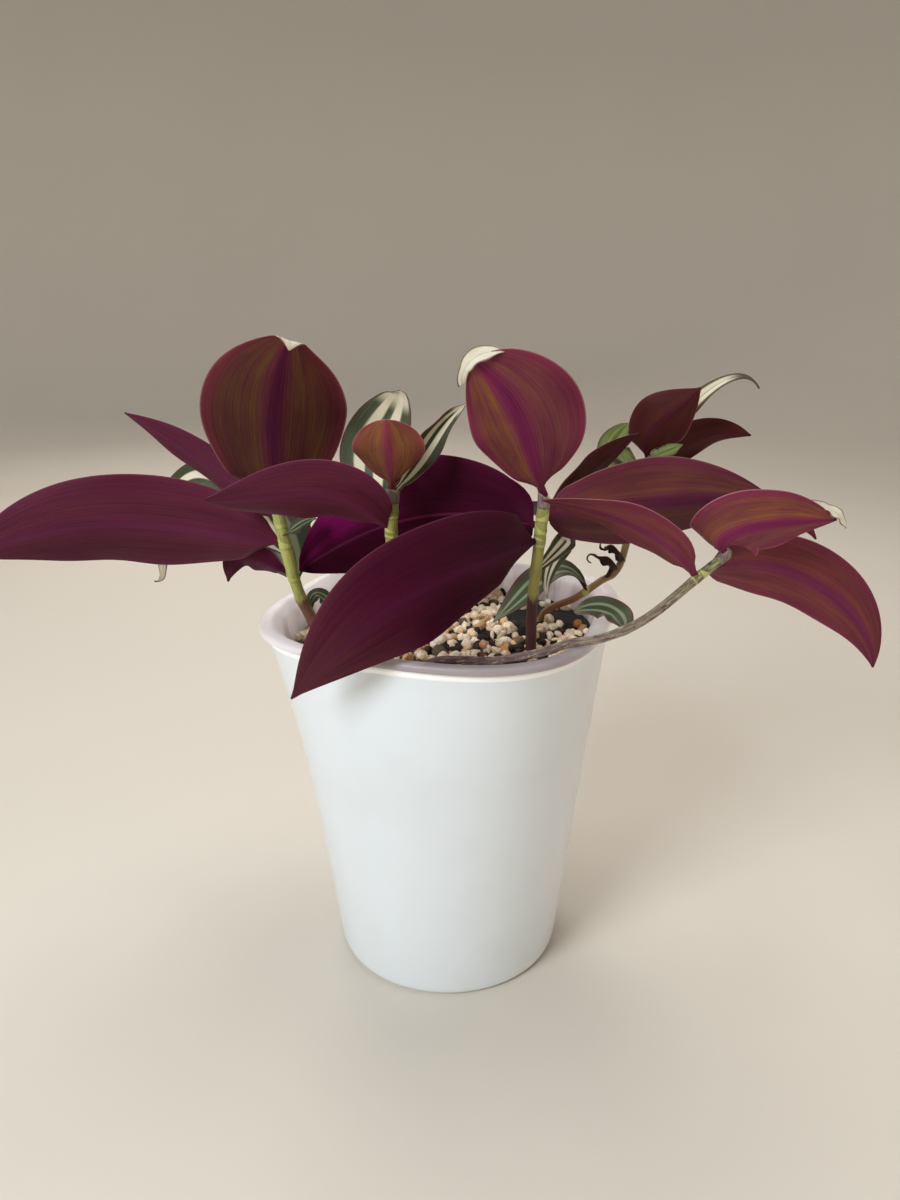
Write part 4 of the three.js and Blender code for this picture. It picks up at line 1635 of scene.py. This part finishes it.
@dataclass
class Plant:
    """Every stem and leaf."""

    stems: list[StemForm] = field(default_factory=lambda: [
        StemForm("left", 1.8, [(-38, 6, 86), (-40, 4, 104), (-43, 0, 115), (-45, -4, 128), (-47, -6, 144)],
                 # The left stem's greens are painted lighter than the other stems', for the strong light on it.
                 FleshyStem("stem_green_left", foot=paint(142, 100, 80), green=paint(194, 198, 106),
                            tip=paint(180, 186, 108), turns_green=(0.46, 0.49), streaking=0.5), (0.48,)),
        StemForm("centre", 1.7,
                 [(-15, -9, 86), (-15, -11, 104), (-14, -16, 124), (-14, -21, 138.5), (-13.2, -22.8, 150)],
                 FleshyStem("stem_green_centre", turns_green=(0.2, 0.3)), (0.55, 0.765, 0.88)),
        StemForm("front", 1.6, [(24, -17, 86), (24, -18, 104), (24, -20, 119), (25, -23, 134), (26, -26, 149)],
                 FleshyStem("stem_green_front", turns_green=(0.5, 0.54)), (0.52, 0.66, 0.8)),
        StemForm("trailing", 1.25,
                 [(-9, -20, 92), (-4, -27, 104), (13, -31, 106), (25, -34, 109.4), (32, -37, 113), (41, -40, 115.8),
                  (52, -38, 120.4), (66, -31, 129), (73, -29, 134)],
                 FleshyStem("stem_mauve", foot=paint(134, 106, 108), green=paint(162, 148, 122),
                            tip=paint(158, 170, 104), streak=paint(92, 54, 80), turns_green=(0.2, 0.7),
                            streaking=0.95, mottling=0.9),
                 (0.42, 0.68, 0.866)),
        StemForm("right", 1.15,
                 [(28, 11, 86), (30, 11, 104), (40, 8, 111), (47, 8, 116), (53, 10, 120),
                  (57, 14, 133), (62, 18, 151)],
                 FleshyStem("stem_brown", foot=paint(178, 134, 92), green=paint(166, 142, 92),
                            streak=paint(120, 80, 78), turns_green=(0.3, 0.8), streaking=0.6),
                 (0.4, 0.6, 0.82)),
        StemForm("back", 1.6, [(0, 23, 86), (1, 24, 104), (1, 25, 117), (-1, 27, 132)],
                 FleshyStem("stem_green_back"), (0.5, 0.736)),
    ])
    leaves: list[Leaf] = field(default_factory=lambda: [
        Leaf("left_long", "left", 0.82, 29, AWAY, [(-71, -14, 138.5), (-96, -20, 141.2), (-125, -22, 134)],
             Look.BURGUNDY, blunt=0.6, sharp=0.6, tone=(1.32, 0.86, 0.84), halves=(1.06, 0.88)),
        Leaf("left_upright", "left", 1, 38.5, (-0.1, 0.92, 0.35), [(-46, -9, 159), (-43, -17, 175), (-37, -28, 188)],
             Look.SHADED, fold=4, cup=5, tip_up=(-0.1, 0.8, 0.6), blunt=0.42, sharp=0.9, widest=0.44, curl=(4, 150),
             tone=(0.62, 0.86, 1.3)),
        Leaf("left_pointed", "left", 0.915, 12, (0.2, 0.9, 0.3), [(-66.5, 5, 152), (-78.8, 7, 160.5), (-91, 7, 168)],
             Look.BURGUNDY, tone=(1.15, 1.05, 1.15)),
        Leaf("left_arching", "left", 0.745, 20, (-0.3, -0.4, 0.9), [(-62.5, 10, 141), (-77, 13, 146), (-87, 13, 118)],
             Look.DUSKY, blunt=0.7, curl=(4, -120), bare=True),
        Leaf("left_low", "left", 0.64, 11, (0, 0.8, 0.5),
             [(-52.5, -1.5, 125.5), (-59.7, -0.5, 126.5), (-63.9, 0, 119.5)], Look.DUSKY, blunt=0.8, sharp=1.1),
        Leaf("left_back", "left", 0.55, 20, (-0.3, 0.1, 0.95), [(-50, 17, 128), (-60, 33, 135), (-70, 49, 129)],
             Look.DUSKY, blunt=0.7, face=Look.MOSSY, bare=True),
        Leaf("left_bud", "left", 0.86, 5, (0, -0.5, 0.85),
             [(-42.6, -7.4, 136.6), (-39.8, -7.2, 138.4), (-36, -6, 139.6)],
             Look.DUSKY, blunt=0.4, grown_in=True, face=Look.MOSSY),
        Leaf("left_inner", "left", 0.36, 5, (0, -0.5, 0.9),
             [(-39.5, 5.5, 113.2), (-37, 6.5, 112.3), (-32.5, 5.5, 109.5)],
             Look.GREEN, grown_in=True, face=Look.MOSSY, blunt=0.4),
        Leaf("centre_long", "centre", 0.765, 20, (0, 0.85, 0.5), [(-28, -33, 151), (-43, -37, 152), (-58, -40, 152)],
             Look.BURGUNDY, blunt=0.7, tone=(1.4, 1.12, 0.86)),
        Leaf("centre_young", "centre", 1, 18.5, TILTED, [(-13.4, -25.2, 154), (-13.6, -29, 161.5), (-13.7, -33, 170)],
             Look.OLIVE, tip_up=(0, 0.6, 0.8), blunt=0.88, sharp=0.6, widest=0.54, tone=(0.95, 1.06, 1.3)),
        Leaf("centre_rolled", "centre", 1, 8, (0.6, -0.7, 0.4), [(-6, -20, 159), (-1, -19, 166), (6, -18, 172)],
             Look.OLIVE, grown_in=True, cup=50),
        Leaf("centre_striped", "centre", 0.88, 18, (0.2, -0.8, 0.5),
             [(-20, -13, 155), (-16.5, 3, 165.3), (-12.5, 8, 173.5)], Look.DUSKY, blunt=0.5, sharp=0.45, widest=0.5),
        Leaf("front_hanging", "front", 0.8, 31, (0, 0.97, 0.25), [(3, -44, 134), (-16, -54, 126), (-38, -50, 104)],
             Look.DUSKY, fold=2, cup=8, sharp=1.05, widest=0.4, tone=(0.74, 0.94, 1.25)),
        Leaf("front_behind", "front", 0.86, 35, (0, 0.97, 0.2), [(7, -12, 142), (-16, -3, 137), (-43, 2, 122)],
             Look.MIDNIGHT, fold=1, cup=6, sharp=0.7, tone=(1.1, 1.25, 0.8)),
        Leaf("front_upright", "front", 1, 28.5, TILTED, [(22.4, -30, 159.5), (18, -34.5, 171), (7.5, -39.5, 184)],
             Look.RIPE, fold=3, cup=6, blunt=0.7, sharp=0.58, widest=0.5, tone=(0.84, 0.98, 1.2), lopsided=0.12),
        Leaf("front_tip", "front", 1, 4.4, (0.2, -0.8, 0.6),
             [(5.2, -38.8, 181.6), (8.2, -39.6, 184.9), (14.5, -39.6, 185.8)],
             Look.RIPE, grown_in=True, face=Look.CREAMY, root=(4.8, -37.8, 178.5)),
        Leaf("front_right", "front", 0.92, 27, AWAY, [(48, -14, 144), (70, -6, 144), (94, 0, 143)],
             Look.LIT_ROSY, fold=2, cup=10, tone=(1.14, 1.1, 0.9), halves=(0.42, 0.84)),
        Leaf("front_narrow", "front", 0.92, 10, (0, 0.9, 0.4), [(38, -8, 150), (47, 0, 156), (56, 5, 161)],
             Look.RUSSET, grown_in=True),
        Leaf("front_drooping", "front", 0.65, 6, (-0.3, -0.9, 0.2),
             [(33.5, -13, 134), (30.9, -11, 129), (29, -11, 117.3)], Look.GREEN, grown_in=True),
        Leaf("front_fleck", "front", 0.92, 3, (0, -0.9, 0.4), [(36, -11, 148.6), (41.8, -9.5, 151.2), (47, -8, 153)],
             Look.GREEN, grown_in=True, face=Look.CREAMY),
        Leaf("trailing_left", "trailing", 0.866, 13, (0, 0.7, 0.7),
             [(52.5, -37, 141), (38.5, -39, 147.5), (24, -41, 151.4)],
             Look.ROSY, fold=3, cup=12, blunt=0.8, tone=(1.3, 1.16, 0.86)),
        Leaf("trailing_top", "trailing", 1, 21, (0.35, 0.7, 0.4),
             [(71.5, -33, 139.5), (79.5, -36.5, 143.5), (98, -35, 144.5)],
             Look.RIPE, fold=8, cup=10, tip_up=(0, 0.85, 0.35), blunt=0.35, sharp=0.85, widest=0.28,
             tone=(1.15, 1.22, 1.3)),
        Leaf("trailing_tip", "trailing", 1, 3, (0.1, -0.8, 0.6),
             [(94, -35.6, 148), (97.5, -35.7, 146.2), (100.3, -35.7, 142.5)],
             Look.RIPE, grown_in=True, face=Look.CREAMY, root=(90.7, -35.5, 148.6)),
        Leaf("trailing_right", "trailing", 0.895, 20.5, AWAY, [(90.5, -19, 127.5), (111, -17, 116), (122, -16, 97)],
             Look.ROSY, fold=3, cup=10, blunt=0.6, sharp=0.85, widest=0.42, tone=(1.25, 1.1, 0.95)),
        Leaf("trailing_small", "trailing", 1, 10, (0, 0.8, 0.6), [(80, -15, 138), (94, -7, 139), (106, -5, 132)],
             Look.ROSY, grown_in=True),
        Leaf("trailing_inner", "trailing", 0.68, 8.5, (0, -0.6, 0.8),
             [(45, -28, 118), (41, -24, 118.3), (35.5, -20, 116)],
             Look.GREEN, grown_in=True, face=Look.MOSSY, blunt=0.4, sharp=0.6),
        Leaf("right_upright", "right", 1, 18, (0.4, 0.85, 0.3),
             [(61, 15.5, 158.5), (65.8, 12.5, 165), (73.5, 8, 173.5)],
             Look.RUSSET, fold=16, cup=14, blunt=0.5, sharp=1.0, widest=0.38, tone=(0.92, 1, 1.25)),
        Leaf("right_silver", "right", 1, 5.5, (-0.3, -0.8, 0.5),
             [(71.4, 19, 164.5), (83.8, 19, 174.7), (93.2, 17, 172.3)],
             Look.RUSSET, grown_in=True, face=Look.BROWN_TIPPED, sharp=1.2, widest=0.35),
        Leaf("right_flat", "right", 0.93, 14, (0, 0.9, 0.4), [(75, 28, 154), (86, 30, 158), (96, 29, 157)],
             Look.RUSSET, blunt=0.7, tone=(1.1, 1, 1.1)),
        Leaf("right_round", "right", 0.87, 11, (0, -0.9, 0.4), [(51.5, 11, 151), (49.5, 11, 157), (53.5, 9, 163.5)],
             Look.GREEN, grown_in=True, face=Look.GREEN, blunt=0.5, sharp=0.6),
        Leaf("right_shaded", "right", 0.87, 6, (0, -0.8, 0.5), [(55, 12, 150), (51, 11, 153.5), (47, 10, 156.5)],
             Look.GREEN, grown_in=True, face=Look.MOSSY),
        Leaf("right_sprout", "right", 1, 4, (0, -0.8, 0.5), [(65, 16, 153.5), (68, 15, 155), (71, 14, 156.5)],
             Look.GREEN, grown_in=True, face=Look.GREEN),
        Leaf("right_back", "right", 0.82, 23, SKYWARD, [(70, 30, 141), (82, 44, 142), (95, 56, 134)], Look.DUSKY),
        Leaf("right_inner", "right", 0.4, 11, (0, -0.3, 0.95), [(34, 4, 121), (24, -1, 116), (14, -8, 109)],
             Look.DUSKY, face=Look.MOSSY),
        Leaf("back_left", "back", 0.85, 26, SKYWARD, [(-13, 42, 137), (-27, 56, 138), (-41, 68, 129)], Look.DUSKY,
             blunt=0.75),
        Leaf("back_right", "back", 0.736, 25, SKYWARD, [(16, 38, 129), (32, 50, 128), (47, 60, 118)], Look.DUSKY),
        Leaf("back_young", "back", 1, 12, (0, 0.6, 0.8), [(3, 33, 139), (8, 40, 143), (14, 47, 142)], Look.OLIVE,
             blunt=1),
        Leaf("scrap_low", "right", 0.55, 3, (0, 0.5, 0.8), [(50, 4, 121.5), (47.5, 2, 124), (44, 2, 126)],
             Look.DRIED, grown_in=True, face=Look.DRIED, curl=(5, 210), wave=0.9),
        Leaf("scrap_high", "right", 0.7, 3, (0, 0.4, 0.8), [(52, 6, 124.5), (50, 4, 127), (48, 3, 127.5)],
             Look.DRIED, grown_in=True, face=Look.DRIED, curl=(4, -170), wave=0.9),
    ])

    def build(self) -> None:
        """Build every stem, then every leaf."""
        tubes = tube_tree()
        for stem in self.stems:
            stem.build(tubes)
        by_name = {stem.name: stem for stem in self.stems}
        wardrobe = Wardrobe()
        for number, leaf in enumerate(self.leaves):
            leaf.build(by_name, wardrobe, 100 + number)


# ---------------------------------------------------------------- the studio


@dataclass
class Studio:
    """A pale sweep, soft lights and the camera."""

    camera_place: Point = (0.00145, -0.2547, 0.1951)
    look_down: float = 17.83
    roll: float = -0.52
    lens: float = 27.03
    sweep_colour: Colour = paint(226, 218, 206)
    sky: float = 0.17

    SWEEP = ((0.4, 0.0), (0.9, 0.0), (1.15, 0.02), (1.32, 0.09), (1.44, 0.22), (1.5, 0.45), (1.52, 1.1))
    AIM = (0.0, 0.0, 0.11)

    def build(self) -> None:
        """Build the sweep, the lights, the sky and the camera."""
        self.sweep()
        self.light("key", (-0.5, -0.62, 0.62), 0.4, 5.9, (0.9, 0.96, 1.0))
        self.light("fill", (0.75, -0.35, 0.4), 0.6, 0.7, (1.0, 0.84, 0.68))
        self.light("top", (0.1, 0.2, 0.95), 0.6, 3.5, (1.0, 0.98, 0.95))
        self.light("back", (-0.25, 0.85, 0.6), 0.6, 2.4, (1.0, 0.93, 0.84))
        world = bpy.data.worlds.new("soft_room")
        world.use_nodes = True
        background = world.node_tree.nodes["Background"]
        background.inputs["Color"].default_value = (1.0, 0.98, 0.95, 1.0)
        background.inputs["Strength"].default_value = self.sky
        bpy.context.scene.world = world
        bpy.context.scene.view_settings.view_transform = "Standard"
        self.camera()

    def sweep(self) -> None:
        """Build the floor that curves up all round."""
        sides = 96
        points = [(0.0, 0.0, 0.0)]
        faces = fan_faces(0, 1, sides)
        for radius, z in self.SWEEP:
            points += [(radius / MM * math.cos(a), radius / MM * math.sin(a), z / MM) for a in circle_angles(sides)]
        for low in range(1, 1 + (len(self.SWEEP) - 1) * sides, sides):
            faces += band_faces(low, low + sides, sides, flip=True)
        recipe = Recipe("pale_floor")
        mottle = recipe.noise(recipe.place(), 6, 3)
        finish = recipe.finish(Base_Color=recipe.shade(self.sweep_colour, 0.97 + mottle * 0.05), Roughness=0.75)
        make_piece("pale_floor", np.array(points), faces, [finish])

    def light(self, name: str, place: Point, size: float, power: float, colour: Point) -> None:
        """Hang one soft light that faces the plant.

        Args:
            name: Its name.
            place: Where it hangs, in metres.
            size: Its width, in metres.
            power: Its watts.
            colour: Its colour.
        """
        data = bpy.data.lights.new(name, "AREA")
        data.shape = "DISK"
        data.size = size
        data.energy = power
        data.color = colour
        lamp = bpy.data.objects.new(name, data)
        lamp.location = place
        lamp.rotation_euler = (Vector(self.AIM) - Vector(place)).to_track_quat("-Z", "Y").to_euler()
        bpy.context.scene.collection.objects.link(lamp)

    def camera(self) -> None:
        """Set the camera where the photograph was taken from."""
        data = bpy.data.cameras.new("camera")
        data.lens = self.lens
        data.sensor_width = 36
        data.clip_start = 0.01
        camera = bpy.data.objects.new("camera", data)
        turn = Matrix.Rotation(math.radians(90 - self.look_down), 4, "X")
        camera.matrix_world = (
            Matrix.Translation(self.camera_place) @ turn @ Matrix.Rotation(math.radians(self.roll), 4, "Z")
        )
        bpy.context.scene.collection.objects.link(camera)
        bpy.context.scene.camera = camera


def main() -> None:
    """Build everything in order."""
    logging.basicConfig(level=logging.INFO, format="%(message)s")
    Studio().build()
    OuterPot().build()
    InnerLiner().build()
    PottingMix().build()
    Plant().build()


if __name__ == "__main__":
    main()
